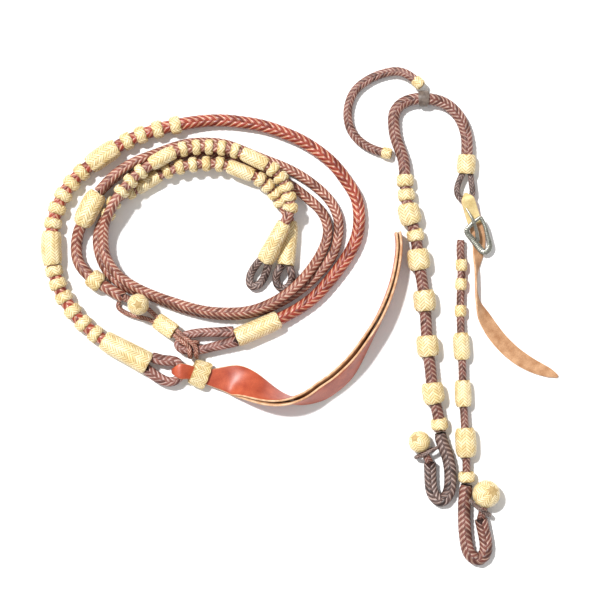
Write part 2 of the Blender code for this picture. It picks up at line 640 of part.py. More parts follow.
def make_reins(stuff):
    rein_a = make_rein("a", REIN_A_ROUTE, REIN_A_ROWS, REIN_A_LONG_AT, REIN_END[0], stuff)
    rein_b = make_rein("b", REIN_B_ROUTE, REIN_B_ROWS, REIN_B_LONG_AT, REIN_END[0], stuff)
    rein_loop("rein_a_bit_loop", rein_a, 0.0052, 0.033, 0.0062, stuff["plait"])
    rein_loop("rein_b_bit_loop", rein_b, 0.0072, 0.0272, 0.0058, stuff["plait"])


# ---- yoke and connector -----------------------------------------------------------------


def make_yoke(stuff):
    route = route_cord("yoke_cord", YOKE_ROUTE, YOKE_R, stuff["plait"], start=0.030)
    radius, length = JOIN_BUTTON
    button("rein_join_button", route, 0.0005 + length / 2, (radius, length), YOKE_R,
           stuff["rawhide"], 0.86)
    button("yoke_button", route, YOKE_BUTTON_AT, YOKE_BUTTON, YOKE_R, stuff["rawhide"])
    return route


def ring_round_leg(offset, first, last, steps):
    """Points of a strand that turns round the romal's leg, from the first angle to the last."""
    centre = vec(LINK_CENTRE)
    reach = START_LOOP_R + 0.0006 + CONNECTOR_R
    points = []
    for i in range(steps + 1):
        turn = math.radians(first + (last - first) * i / steps)
        points.append(Vector((centre.x + offset + 0.0012 * i / steps,
                              centre.y + reach * math.cos(turn),
                              centre.z + reach * math.sin(turn))))
    return points


def make_connector(yoke, stuff):
    """One strand: past the knob, through the keeper, twice round the leg, and back again."""
    upper = Route(CONNECTOR_UPPER)
    lower = Route(CONNECTOR_LOWER)
    out = [p for p in upper.points(0, upper.length, 0.005)][:-1]
    back = [p for p in lower.points(0, lower.length, 0.005)][:-1]
    right = ring_round_leg(RING_OFFSETS[0], *RING_TURN)
    left = ring_round_leg(RING_OFFSETS[1], *RING_TURN)
    turn_over = [right[-1] + Vector((-0.0018, 0.0002, 0.0030)),
                 left[-1] + Vector((0.0018, 0.0002, 0.0030))]
    points = out + right + turn_over + left[::-1] + back[::-1]
    cord("connector_loop", points, CONNECTOR_R, stuff["plait"])
    facing = yoke.tangent(yoke.length)
    knob("yoke_knob", vec(YOKE_KNOB_CENTRE), yoke.at(yoke.length) + facing * GAP, facing,
         YOKE_KNOB_R, NECK_R, stuff["rawhide"])


def make_keeper(stuff):
    start = vec(KEEPER_START)
    forward = (vec(KEEPER_END) - start).normalized()
    side = forward.cross(Vector((0, 0, 1))).normalized()
    up = side.cross(forward)
    half_width = 2 * CONNECTOR_R + 0.0016
    half_height = CONNECTOR_R + 0.0014
    rings = []
    for share, swell in ((0, 0.9), (0.12, 1.0), (0.88, 1.0), (1, 0.9)):
        centre = start + forward * KEEPER_LENGTH * share
        rings.append(oval_ring(centre, side, up, (half_width + KEEPER_WALL) * swell,
                               (half_height + KEEPER_WALL) * swell, 12))
    for share in (1, 0):
        centre = start + forward * KEEPER_LENGTH * share
        rings.append(oval_ring(centre, side, up, half_width, half_height, 12))
    loft("connector_keeper", rings, stuff["rawhide"], closed=True)


# ---- the headstall ----------------------------------------------------------------------


def make_crown(stuff):
    route = route_cord("headstall_cord", HEADSTALL_ROUTE, HEADSTALL_R, stuff["plait"],
                       start=0.002)
    button("crown_end_button", route, CROWN_END_AT, CROWN_END, HEADSTALL_R,
           stuff["rawhide"], 0.88)
    button("crown_band", route, CROWN_BAND_AT, CROWN_BAND, HEADSTALL_R, stuff["strap"], 0.97)
    route_cord("crown_end_loop", CROWN_LOOP_ROUTE, CROWN_LOOP_R, stuff["plait"], step=0.0055)
    return route


def make_left_cheek(route, stuff):
    button_group("left_cheek_upper_buttons", route, LEFT_UPPER, HEADSTALL_R, stuff["rawhide"])
    for number, middle in enumerate(LEFT_LONG_AT, 1):
        button(f"left_cheek_long_button_{number}", route, middle, CHEEK_LONG, HEADSTALL_R,
               stuff["rawhide"], 0.84)
    button_group("left_cheek_low_buttons", route, LEFT_LOWER, HEADSTALL_R, stuff["rawhide"])
    bit = route_cord("left_bit_loop", LEFT_BIT_ROUTE, LEFT_BIT_R, stuff["plait"], step=0.0085)
    facing = bit.tangent(bit.length)
    knob("left_bit_knob", vec(LEFT_KNOB_CENTRE), bit.at(bit.length) + facing * GAP, facing,
         LEFT_KNOB_R, NECK_R, stuff["rawhide"])
    route_cord("left_bit_eyelet", LEFT_EYELET_ROUTE, EYELET_R, stuff["plait"], step=0.0045)


def make_ear_loop(stuff):
    route = route_cord("ear_loop_cord", EAR_LOOP_ROUTE, EAR_LOOP_R, stuff["plait"],
                       step=0.009)
    radius, length = EAR_BUTTON
    button("ear_loop_top_button", route, length / 2 - 0.0005, (radius, length),
           EAR_LOOP_R - 0.0006, stuff["rawhide"], 0.94)
    button("ear_loop_low_button", route, route.length - length / 2 + 0.0005, (radius, length),
           EAR_LOOP_R - 0.0006, stuff["rawhide"], 0.94)


def make_right_cheek(stuff):
    route = route_cord("right_cheek_cord", RIGHT_CHEEK_ROUTE, RIGHT_CHEEK_R, stuff["plait"],
                       step=0.012)
    button_group("right_cheek_upper_buttons", route, RIGHT_UPPER, RIGHT_CHEEK_R,
                 stuff["rawhide"])
    button("right_cheek_long_button", route, RIGHT_LONG_AT, RIGHT_LONG, RIGHT_CHEEK_R,
           stuff["rawhide"], 0.84)
    button_group("right_cheek_low_buttons", route, RIGHT_LOWER, RIGHT_CHEEK_R,
                 stuff["rawhide"])
    bit = route_cord("right_bit_loop", RIGHT_BIT_ROUTE, RIGHT_BIT_R, stuff["plait"],
                     step=0.0085)
    facing = bit.tangent(bit.length)
    knob("right_bit_knob", vec(RIGHT_KNOB_CENTRE), bit.at(bit.length) + facing * GAP, facing,
         RIGHT_KNOB_R, RIGHT_NECK_R, stuff["rawhide"])
    route_cord("right_bit_eyelet", RIGHT_EYELET_ROUTE, EYELET_R, stuff["plait"], step=0.0045)


def fold_round(pivot, forward, reach, widths):
    """Sections of a strap's fold round a bar that lies across it: widths by angle."""
    up = Vector((0, 0, 1))
    across = forward.cross(up).normalized()
    sections = []
    for angle, width in widths:
        turn = math.radians(angle)
        face = forward * math.cos(turn) + up * math.sin(turn)
        sections.append((pivot + face * reach, across, face, width))
    return sections


def make_buckle(stuff):
    points = [(x, y, z, BILLET_WIDTH * share, roll) for x, y, z, share, roll in BILLET_ROUTE]
    tail = strap_line(points, 0.0105)
    pivot = vec(CROWN_LOOP_PIVOT)
    forward = Vector((5, -14.4, 0)).normalized()
    reach = CROWN_LOOP_R + FOLD_CLEAR + BILLET_LEATHER / 2
    fold = fold_round(pivot, forward, reach, BILLET_FOLD)
    under = [(vec(BILLET_UNDER), fold[0][1], -Vector((0, 0, 1)), 0.0120)]
    strap("billet_strap", under + fold + tail, BILLET_LEATHER, stuff["strap"])
    ring = Route(BUCKLE_ROUTE + BUCKLE_ROUTE[:1])
    cord("buckle_frame", ring.points(0, ring.length, 0.0045)[:-1], BUCKLE_WIRE_R,
         stuff["steel"], cyclic=True)
    route_cord("buckle_tongue", TONGUE_ROUTE, TONGUE_R, stuff["steel"], step=0.005)


SET = new_collection("romal_reins_and_headstall")


def main():
    clear_scene()
    stuff = make_materials()
    make_romal(stuff)
    make_popper(stuff)
    make_reins(stuff)
    yoke = make_yoke(stuff)
    make_connector(yoke, stuff)
    make_keeper(stuff)
    crown = make_crown(stuff)
    make_left_cheek(crown, stuff)
    make_ear_loop(stuff)
    make_right_cheek(stuff)
    make_buckle(stuff)


main()
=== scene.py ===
# %% [markdown]
# # Romal reins with their matching headstall
#
# A romal set is nearly all braid: long round plaits of leather, with woven rawhide buttons sliding
# over them.  The lesson builds one strand of braid, lays it hundreds of times along a smooth route,
# and then uses the same idea, with finer strands, for every button and knob.
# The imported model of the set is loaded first, because each finished piece takes its place in it.

# %% Load the model that the pieces belong to
import math

import bmesh
import bpy
import numpy as np
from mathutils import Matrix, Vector


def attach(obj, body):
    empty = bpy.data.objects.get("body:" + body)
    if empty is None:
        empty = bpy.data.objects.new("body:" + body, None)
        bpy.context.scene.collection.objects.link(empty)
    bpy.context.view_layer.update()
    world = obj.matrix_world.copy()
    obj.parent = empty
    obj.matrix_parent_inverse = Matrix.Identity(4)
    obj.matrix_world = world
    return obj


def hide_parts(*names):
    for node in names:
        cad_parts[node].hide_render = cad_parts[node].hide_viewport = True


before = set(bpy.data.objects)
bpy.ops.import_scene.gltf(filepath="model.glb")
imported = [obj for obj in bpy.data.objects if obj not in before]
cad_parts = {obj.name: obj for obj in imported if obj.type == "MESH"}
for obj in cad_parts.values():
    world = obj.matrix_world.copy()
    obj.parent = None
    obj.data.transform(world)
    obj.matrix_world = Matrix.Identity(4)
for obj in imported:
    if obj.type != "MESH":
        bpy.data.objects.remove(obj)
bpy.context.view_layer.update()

MM = 0.001
ORIGIN = (0.1, 4.6, 0.0)        # the middle of the layout, in the millimetres of the routes

# %% [markdown]
# ## Camera
#
# The set lies on a table and is seen from straight above.  A long lens keeps the far ends of the
# cords as round as the near ones: 0.63 m of table fills the width of the view.

# %% Camera above the table
VIEW_WIDTH = 0.63               # metres of table
VIEW_MIDDLE = (-0.0001, 0.0164)
CAMERA_HEIGHT = 2.6
SENSOR = 36.0                   # millimetres
lens = bpy.data.cameras.new("overhead_camera")
lens.sensor_width = SENSOR
lens.lens = SENSOR * CAMERA_HEIGHT / VIEW_WIDTH
camera = bpy.data.objects.new("overhead_camera", lens)
camera.location = (*VIEW_MIDDLE, CAMERA_HEIGHT)
bpy.context.scene.collection.objects.link(camera)
bpy.context.scene.camera = camera
print("lens", round(lens.lens, 1), "mm")

# %% [markdown]
# ## Routes of the cords
#
# Leather cord is springy, so it lies in long even curves with no corners.  A natural cubic spline
# through a few listed points bends the way a thin spring does, which is why it suits cords.
# The points are millimetres on the table, with the height of the cord's middle as the third.

# %% The points of each route
ROMAL_ROUTE = [
    (-67, -18.7, 10.9), (-45, -9.3, 10.9), (-24, 0.1, 10.4), (-3, 11, 7.6), (15, 24, 7.1),
    (30, 40, 7.1), (44, 58, 7.1), (55, 76, 7.1), (61, 93, 7.1), (62, 110, 7.1),
    (59, 128, 7.1), (49, 145, 7.1), (37, 161, 7.1), (20, 176, 7.1), (1, 188, 7.1),
    (-17, 196, 7.1), (-38, 203, 7.1), (-60, 207, 7.1), (-83, 209, 7.1), (-104, 208, 7.8),
    (-124, 205, 9.6), (-150, 199, 9.8), (-181, 187, 9.8), (-207, 171, 10.8), (-229, 154, 9.8),
    (-248, 130, 9.8), (-258, 103, 9.8), (-260, 74, 10.8), (-255, 43, 9.8), (-243, 17, 9.8),
    (-225, -5, 9.8), (-209, -18, 10.4), (-182, -33, 12.4), (-158, -46, 12.4),
]
REIN_A_ROUTE = [
    (-36.5, 62, 14.0), (-25.5, 83, 22.8), (-15, 103, 25.5), (-10, 118, 26.2), (-12, 129, 26.2),
    (-20, 148, 26.6), (-30, 158, 27.0), (-46, 167, 26.6), (-66, 176, 23.5), (-88, 180, 20.8),
    (-109, 180, 20.6), (-127, 176.5, 22.4), (-144, 168.5, 25.4), (-166, 154, 25.8),
    (-185, 134.5, 26.4), (-191.5, 125, 26.8), (-196.5, 116, 25.8), (-202, 104, 21.8),
    (-205, 85, 16.4), (-202, 66, 16.9), (-193, 51, 17.1), (-158, 28, 17.1), (-130, 18, 17.1),
    (-103, 10.5, 17.1), (-76, 8, 17.1), (-50, 10.5, 17.1), (-28, 19, 17.1), (-12, 29, 17.1),
    (2, 42, 15.4), (14, 57, 11.0), (24, 74, 6.6), (29, 93, 5.8), (24, 111, 5.8),
    (10, 126, 5.8), (-20, 147, 5.8), (-40, 155.5, 5.8), (-62, 165, 5.8), (-82, 172.5, 5.8),
    (-105, 173.5, 5.8), (-125, 171.5, 5.8), (-144, 167, 5.8), (-160, 163, 5.8),
    (-178, 158, 5.9), (-196, 147.5, 6.4), (-208.8, 135, 6.9),
]
REIN_B_ROUTE = [
    (-15, 57, 10.2), (-12, 79, 9.0), (-11, 103, 8.5), (-16, 116, 8.6), (-26, 132, 12.0),
    (-43, 147.5, 17.6), (-61, 155.5, 18.0), (-83, 162.5, 16.8), (-105, 162.8, 16.3),
    (-125, 160, 15.2), (-141, 154.5, 12.6), (-159, 145, 9.4), (-176, 135, 8.6),
    (-186, 131, 8.6), (-193, 126, 8.6), (-197.6, 116, 8.6), (-203.5, 107.5, 8.2),
    (-209.5, 97, 6.6), (-212, 85, 5.8), (-209, 66, 5.8), (-200, 49, 5.8), (-184, 36, 5.8),
    (-158, 26, 5.8), (-132, 15.5, 5.8), (-76, 5, 5.8), (-50, 7.6, 5.8), (-29, 14.7, 5.8),
    (8, 38, 5.8), (23, 53, 5.8), (35, 70, 5.8), (40, 88, 5.8), (40, 106, 5.8),
    (32, 124, 5.8), (17, 139.5, 5.8), (-13, 158.5, 5.8), (-34, 167, 5.8), (-60, 177.5, 5.8),
    (-81, 184.5, 5.8), (-98, 186, 5.8), (-116, 185, 5.9), (-132, 181, 8.6),
    (-150, 174, 14.0), (-163, 169, 17.6), (-178, 162, 18.4), (-195, 150, 18.6),
    (-208.9, 135.3, 18.8),
]
YOKE_ROUTE = [
    (-210.5, 133, 13.4), (-217.5, 121, 14.6), (-225, 106, 14.6), (-231.5, 92, 9.6),
    (-234, 77, 6.9), (-232, 62, 7.8), (-224, 50, 10.6), (-213, 41, 11.2), (-203, 34.5, 10.8),
    (-193, 28.5, 10.6), (-184.5, 24, 10.6),
]
CONNECTOR_UPPER = [              # from the yoke, through the keeper, over the romal's loop
    (-180.5, 19.5, 4.4), (-172, 17.5, 5.8), (-163, 14, 7.0), (-155.5, 8.4, 7.9),
    (-148.7, 2.3, 8.8), (-137.6, -5.1, 12.2), (-126.6, -12.4, 15.6), (-119.6, -18.8, 18.5),
    (-112.5, -25.5, 18.6),
]
CONNECTOR_LOWER = [
    (-189.5, 19, 2.9), (-190.5, 14.2, 3.2), (-186, 9.4, 4.2), (-176, 5, 5.8),
    (-163, 1.8, 7.5), (-151.7, -2.3, 8.8), (-140.6, -9.7, 12.2), (-129.6, -17, 15.6),
    (-123.5, -22, 18.5), (-117.5, -26.5, 18.6),
]
START_LOOP_ROUTE = [
    (-71.3, -11.9, 10.4), (-86, -12.6, 10.3), (-101, -13, 10.3), (-113, -14.3, 10.3),
    (-123, -18, 10.3), (-127.5, -25, 10.3), (-123.5, -30.6, 10.3), (-116, -31, 10.3),
    (-110, -31, 10.3), (-104, -31, 10.3), (-93, -28.6, 10.3), (-82, -26, 10.3),
    (-67.4, -22.3, 10.4),
]
LINK_CENTRE = (-113, -31, 10.3)  # the romal's leg that the connector turns round
RING_OFFSETS = (0.0046, -0.0022)  # metres along the leg, of its two turns
RING_TURN = (84, 360, 9)        # first angle, last angle and number of steps
YOKE_KNOB_CENTRE = (-168.3, 16.4, 26.0)
KEEPER_START = (-150.2, 0, 8.8)
KEEPER_END = (-128.1, -14.7, 15.6)
END_LOOP_ROUTE = [
    (-153, -39.2, 11.8), (-143, -42, 11.1), (-134.5, -42.6, 11.0), (-128.2, -44.6, 11.0),
    (-124.6, -50.6, 11.0), (-124.6, -56.0, 11.0), (-128.4, -62.0, 11.0), (-134.6, -64.5, 11.0),
    (-146.0, -61.4, 11.1), (-159.4, -52.1, 11.8),
]
POPPER_PIVOT = (-124.4, -53.3, 11.0)
POPPER_BUTTON_START = (-112.8, -53.2, 11.0)
POPPER_BUTTON_END = (-96.4, -59.4, 8.0)
HEADSTALL_ROUTE = [
    (173.4, 152.5, 9.8), (174.3, 168, 9.9), (174.8, 182, 9.4), (173.8, 195, 7.2), (169, 209, 6.7),
    (160.7, 220, 6.7), (149, 228, 7.2), (137.5, 231, 8.8), (126, 231.7, 9.0),
    (114.5, 230, 7.6), (104.5, 224.7, 6.7), (99, 216.3, 6.7), (98.2, 205.8, 6.7),
    (99.8, 193.2, 6.7), (104, 180.6, 6.7), (108.2, 168, 7.2), (109.5, 157, 8.8),
    (110, 145, 9.6), (111.3, 130.2, 10.2), (114.5, 110.3, 12.0), (120.8, 88.2, 11.2),
    (124, 63, 11.9), (127.6, 41, 11.4), (130.2, 20, 11.9), (131.8, -3, 11.4),
    (133.4, -27.3, 12.0), (136.5, -52.5, 11.4), (139.2, -76.7, 12.1), (143.3, -94.5, 10.8),
    (146, -109.2, 9.5), (146.5, -116.5, 9.4),
]
EAR_LOOP_ROUTE = [
    (127, 244.5, 14.5), (117, 253.5, 12.5), (104, 260, 8.0), (88, 258.5, 5.4),
    (69.5, 250.5, 5.2), (57.5, 240, 5.2), (51.5, 227, 5.2), (50, 214, 5.2), (52.5, 201.5, 5.2),
    (59.5, 190.5, 5.2), (69.5, 182.5, 5.2), (82, 177, 5.8), (95.6, 173.7, 7.4),
]
RIGHT_CHEEK_ROUTE = [
    (168.5, 84, 7.2), (168, 73, 7.0), (169, 57.8, 6.9), (168.6, 37.8, 6.9), (168, 9.5, 6.9),
    (168.4, -9, 8.0), (169, -27.3, 9.3), (170, -52.5, 8.8), (170.6, -76.7, 9.1),
    (172, -104, 10.4), (173.3, -128, 11.3), (174, -148, 10.0), (174.3, -163.8, 9.1),
    (174.5, -170.5, 9.0),
]
CROWN_LOOP_ROUTE = [
    (169.2, 151.7, 9.6), (165.6, 143, 9.2), (164.2, 135, 9.0), (166.6, 128.4, 9.0),
    (171.0, 125.6, 9.0), (175, 126.1, 9.0), (178.6, 128.4, 9.0), (180.4, 132.6, 9.0),
    (179.8, 141, 9.2), (178.6, 151.7, 9.6),
]
CROWN_LOOP_PIVOT = (175.0, 126.4, 9.0)
LEFT_BIT_ROUTE = [
    (146.8, -118.4, 9.0), (148.6, -127, 8.2), (153.4, -139.5, 7.4), (157, -155.5, 7.2),
    (157.4, -171, 7.2), (154.5, -183, 7.2), (147.4, -189, 7.2), (140, -183, 7.2),
    (137, -171.5, 7.2), (136.4, -158, 7.4), (136, -149.4, 8.4),
]
LEFT_KNOB_CENTRE = (124.8, -127.2, 11.8)
LEFT_EYELET_ROUTE = [
    (143.2, -133.2, 14.2), (139.5, -135, 16.2), (134, -137.6, 17.0), (127.5, -140.8, 16.2),
    (122.3, -143.4, 12.5), (121.4, -143.8, 9.0), (123, -143, 5.2), (128, -140.6, 2.8),
    (134, -137.6, 2.4), (139.5, -135, 2.6),
]
RIGHT_BIT_ROUTE = [
    (174.4, -172.5, 8.8), (173, -182, 8.0), (172, -197, 7.5), (172.3, -215, 7.5),
    (174.3, -234, 7.5), (179.3, -246.5, 7.5), (186.6, -250.2, 7.5), (193.2, -245, 7.5),
    (194.7, -234.5, 7.5), (192.4, -221, 7.6), (189.4, -208.4, 9.0),
]
RIGHT_KNOB_CENTRE = (194.4, -181.6, 14.8)
RIGHT_EYELET_ROUTE = [
    (176.5, -187, 19.4), (181, -191.5, 20.2), (187, -196.6, 20.0), (193.2, -201, 18.0),
    (197.4, -203.4, 13.6), (198.2, -203.6, 9.0), (195.5, -202, 4.6), (190, -198.6, 2.6),
    (185, -195.5, 2.4),
]
POPPER_ROUTE = [                 # x, y, width as a share of the full width, roll in degrees
    (-110.4, -55.0, 0.37, 0), (-94, -59.9, 0.52, 0), (-68, -63, 1.0, 4), (-48, -71.5, 1.0, 40),
    (-24, -81.5, 1.0, 72), (-3, -83.5, 1.0, 98), (23, -73.5, 1.0, 118), (47, -54.5, 0.98, 116),
    (61.5, -34.5, 0.95, 104), (73, -15, 0.92, 96), (81.5, 0, 0.9, 92), (91, 21, 0.86, 90),
    (98.5, 44, 0.82, 90), (102.4, 65, 0.78, 90), (103.4, 82, 0.72, 90), (102.2, 91, 0.66, 90),
]
POPPER_START_HEIGHTS = (9.2, 7.8)   # its first points are carried by the button
BILLET_UNDER = (178.6, 113.5, 1.7)  # where the end folded under the billet stops
BILLET_ROUTE = [                 # x, y, z, width as a share, roll in degrees
    (180, 112, 5.2, 1.0, 0), (184.5, 98, 4.4, 1.0, 0), (187.5, 84, 3.6, 0.95, 4),
    (186.5, 68, 4.6, 0.85, 30), (184.6, 52, 7.4, 0.8, 78), (184.2, 36, 7.6, 0.8, 90),
    (186.5, 18, 7.2, 0.85, 70), (193, 3, 4.4, 1.0, 22), (203.5, -13.5, 2.2, 1.08, 4),
    (217, -29, 1.7, 1.1, 0), (233.5, -42, 1.7, 1.05, 0), (249.5, -50.5, 1.7, 0.9, 0),
    (262.5, -55.8, 1.7, 0.66, 0), (270.5, -59.3, 1.7, 0.2, 0),
]
BUCKLE_ROUTE = [
    (188.6, 107.5, 14.5), (193, 99, 13.6), (196.6, 86, 11.8), (197.4, 74.5, 9.6),
    (193.6, 71.4, 9.0), (185.8, 77.6, 9.2), (177.8, 87.4, 10.2), (174.4, 93.6, 11.6),
    (177.6, 98.4, 13.0), (183, 103.6, 14.2),
]
TONGUE_ROUTE = [
    (185.6, 82.4, 12.6), (184.6, 91, 15.6), (181.6, 101, 17.8), (177.6, 109.6, 17.2),
    (173.6, 116.6, 15.6),
]

# %% A smooth route, measured along its length


class Route:
    """A smooth curve through points, with its direction and its two cross directions."""

    SAMPLES = 24

    def __init__(self, points, level=True):
        knots = (np.array(points, float) - ORIGIN) * MM
        self.trace(self.spline(knots), level)

    def spline(self, knots):
        spans = np.linalg.norm(np.diff(knots, axis=0), axis=1)
        count = len(knots)
        matrix = np.eye(count)
        right = np.zeros((count, 3))
        for i in range(1, count - 1):
            matrix[i, i - 1:i + 2] = spans[i - 1], 2 * (spans[i - 1] + spans[i]), spans[i]
            before = (knots[i] - knots[i - 1]) / spans[i - 1]
            after = (knots[i + 1] - knots[i]) / spans[i]
            right[i] = 6 * (after - before)
        bend = np.linalg.solve(matrix, right)
        fine = []
        for i, span in enumerate(spans):
            last = i == len(spans) - 1
            t = np.linspace(0, 1, self.SAMPLES, endpoint=last)[:, None]
            a = 1 - t
            curve = (a ** 3 - a) * bend[i] + (t ** 3 - t) * bend[i + 1]
            fine.append(a * knots[i] + t * knots[i + 1] + curve * span ** 2 / 6)
        return np.concatenate(fine)

    def trace(self, fine, level):
        self.fine = fine
        steps = np.linalg.norm(np.diff(fine, axis=0), axis=1)
        self.along = np.concatenate([[0.0], np.cumsum(steps)])
        self.length = float(self.along[-1])
        self.forward = unit(np.gradient(fine, axis=0))
        if level:
            self.side = unit(np.cross(self.forward, (0.0, 0.0, 1.0)))
        else:
            self.side = carried(self.forward)
        self.up = np.cross(self.side, self.forward)

    def at(self, s):
        return read(self.along, self.fine, s)

    def frames(self, s):
        """Middle, forward, side and up at each distance; past an end the route runs straight."""
        middle = self.at(s)
        forward = unit(read(self.along, self.forward, s))
        side = unit(read(self.along, self.side, s))
        past = np.asarray(s, float) - np.clip(s, 0, self.length)
        middle = middle + forward * past[..., None]
        return middle, forward, side, np.cross(side, forward)

    def path(self, start, end, step=0.004):
        count = max(2, round((end - start) / step) + 1)
        return self.at(np.linspace(start, end, count))


def unit(vectors):
    return vectors / np.linalg.norm(vectors, axis=-1, keepdims=True)


def read(along, values, s):
    s = np.asarray(s, float)
    return np.stack([np.interp(s, along, values[:, i]) for i in range(values.shape[1])], axis=-1)


def carried(forward):
    """A cross direction carried along the curve without twist, for strands that turn upright."""
    first = np.cross(forward[0], (0.0, 0.0, 1.0))
    side = [first / np.linalg.norm(first)]
    for direction in forward[1:]:
        kept = side[-1] - direction * np.dot(side[-1], direction)
        side.append(kept / np.linalg.norm(kept))
    return np.array(side)


def straight(start, end, level=True):
    """A route with no bends between two places in the millimetres of the routes."""
    return Route([np.array(start) + (np.array(end) - start) * t for t in (0, 0.33, 0.67, 1)],
                 level)


def place(point):
    return (np.array(point, float) - ORIGIN) * MM


ROUTES = {name: Route(points) for name, points in [
    ("romal", ROMAL_ROUTE), ("rein_a", REIN_A_ROUTE), ("rein_b", REIN_B_ROUTE),
    ("yoke", YOKE_ROUTE), ("headstall", HEADSTALL_ROUTE), ("ear", EAR_LOOP_ROUTE),
    ("right", RIGHT_CHEEK_ROUTE)]}
for name, route in ROUTES.items():
    print(name, round(route.length, 4), "m")

# %% [markdown]
# ## Colours and one helper for nodes
#
# Colours are written as sRGB hex, the way a dye chart gives them, and turned to the linear values
# that the shader works in.  One helper adds a node, sets it and links it, so that each finish can
# be read from top to bottom.

# %% Colour and node helpers


def colour(code):
    shares = [int(code[i:i + 2], 16) / 255 for i in (1, 3, 5)]
    linear = [c / 12.92 if c <= 0.04045 else ((c + 0.055) / 1.055) ** 2.4 for c in shares]
    return (*linear, 1.0)


def add(tree, kind, settings=(), links=()):
    """Adds a node, sets its sockets or properties, and links its inputs."""
    node = tree.nodes.new("ShaderNode" + kind)
    for key, value in dict(settings).items():
        if isinstance(key, int) or key in node.inputs:
            node.inputs[key].default_value = value
        else:
            setattr(node, key, value)
    for key, source in dict(links).items():
        tree.links.new(source, node.inputs[key])
    return node


def start_material(name, roughness, metallic=0.0, specular=0.5):
    material = bpy.data.materials.new(name)
    material.use_nodes = True
    tree = material.node_tree
    shader = tree.nodes["Principled BSDF"]
    shader.inputs["Roughness"].default_value = roughness
    shader.inputs["Metallic"].default_value = metallic
    shader.inputs["Specular IOR Level"].default_value = specular
    return material, tree, shader


def ramp(tree, source, stops):
    """A colour ramp over stops of (position, hex colour)."""
    node = add(tree, "ValToRGB", links={"Fac": source})
    elements = node.color_ramp.elements
    while len(elements) < len(stops):
        elements.new(0.5)
    for element, (position, code) in zip(elements, stops):
        element.position = position
        element.color = colour(code)
    return node.outputs["Color"]


def grains(tree, size_mm, detail=2.0, rough=0.5, stretch=(1, 1, 1)):
    """Noise whose grains are about the size given, on the piece's own coordinates."""
    coords = add(tree, "TexCoord")
    mapping = add(tree, "Mapping", {"Scale": stretch}, {"Vector": coords.outputs["Object"]})
    noise = add(tree, "TexNoise", {"Scale": 1 / (size_mm * MM), "Detail": detail,
                                   "Roughness": rough}, {"Vector": mapping.outputs["Vector"]})
    return noise.outputs["Fac"]


def bump(tree, shader, height, depth_mm, strength=1.0):
    node = add(tree, "Bump", {"Distance": depth_mm * MM, "Strength": strength},
               {"Height": height})
    tree.links.new(node.outputs["Normal"], shader.inputs["Normal"])


def blend_colours(tree, share, first, second, mode="MIX"):
    node = add(tree, "Mix", {"data_type": "RGBA", "blend_type": mode})
    if isinstance(share, float):
        node.inputs[0].default_value = share
    else:
        tree.links.new(share, node.inputs[0])
    tree.links.new(first, node.inputs[6])
    tree.links.new(second, node.inputs[7])
    return node.outputs[2]


# %% [markdown]
# ## Leather for the plaits
#
# Each strand is a thong cut from dyed calf and rubbed with wax.  Its middle keeps the dye, while
# the cut edges wear pale, so a worn edge draws the herringbone.  Two attributes on the mesh carry this:
# "edge" rises from the middle of a strand to its sides, and "tone" differs from strand to strand.
# The dye is the same all over the set, but wear is not: the romal is still red, the reins are
# rubbed pale by the hands, the bridle cords have browned, and the loops are greyed by sweat.

# %% Plaited calf


def plaited_calf(name, middle, worn, deep, roughness):
    """Waxed dyed thongs: satin, with pale edges and darker hollows."""
    material, tree, shader = start_material(name, roughness)
    edge = add(tree, "Attribute", {"attribute_name": "edge"}).outputs["Fac"]
    tone = add(tree, "Attribute", {"attribute_name": "tone"}).outputs["Fac"]
    mottle = grains(tree, 5.0, 3.0)
    worn_share = add(tree, "Math", {"operation": "MULTIPLY_ADD", 1: 0.45}, {0: mottle, 2: edge})
    across = ramp(tree, worn_share.outputs["Value"],
                  [(0.0, middle), (0.72, middle), (1.0, worn), (1.0, worn)])
    shade = ramp(tree, tone, [(0.0, deep), (0.5, "#e6dcd6"), (1.0, "#ffffff")])
    dyed = blend_colours(tree, 1.0, across, shade, "MULTIPLY")
    tree.links.new(dyed, shader.inputs["Base Color"])
    bump(tree, shader, grains(tree, 0.9, 4.0, 0.65), 0.12, 0.7)
    return material


CORD_CALF = plaited_calf("plaited_calf_red", "#993a26", "#e6b092", "#ab8d84", 0.38)
REIN_CALF = plaited_calf("plaited_calf_rubbed", "#8e4f3e", "#eccab4", "#a99086", 0.42)
DULL_CALF = plaited_calf("plaited_calf_dull", "#875348", "#d8b9b0", "#a18d88", 0.46)
BRIDLE_CALF = plaited_calf("plaited_calf_brown", "#76443a", "#ceaf9f", "#9f8d84", 0.44)
WORN_CALF = plaited_calf("plaited_calf_handled", "#5a4540", "#bfaaa2", "#8d807c", 0.46)
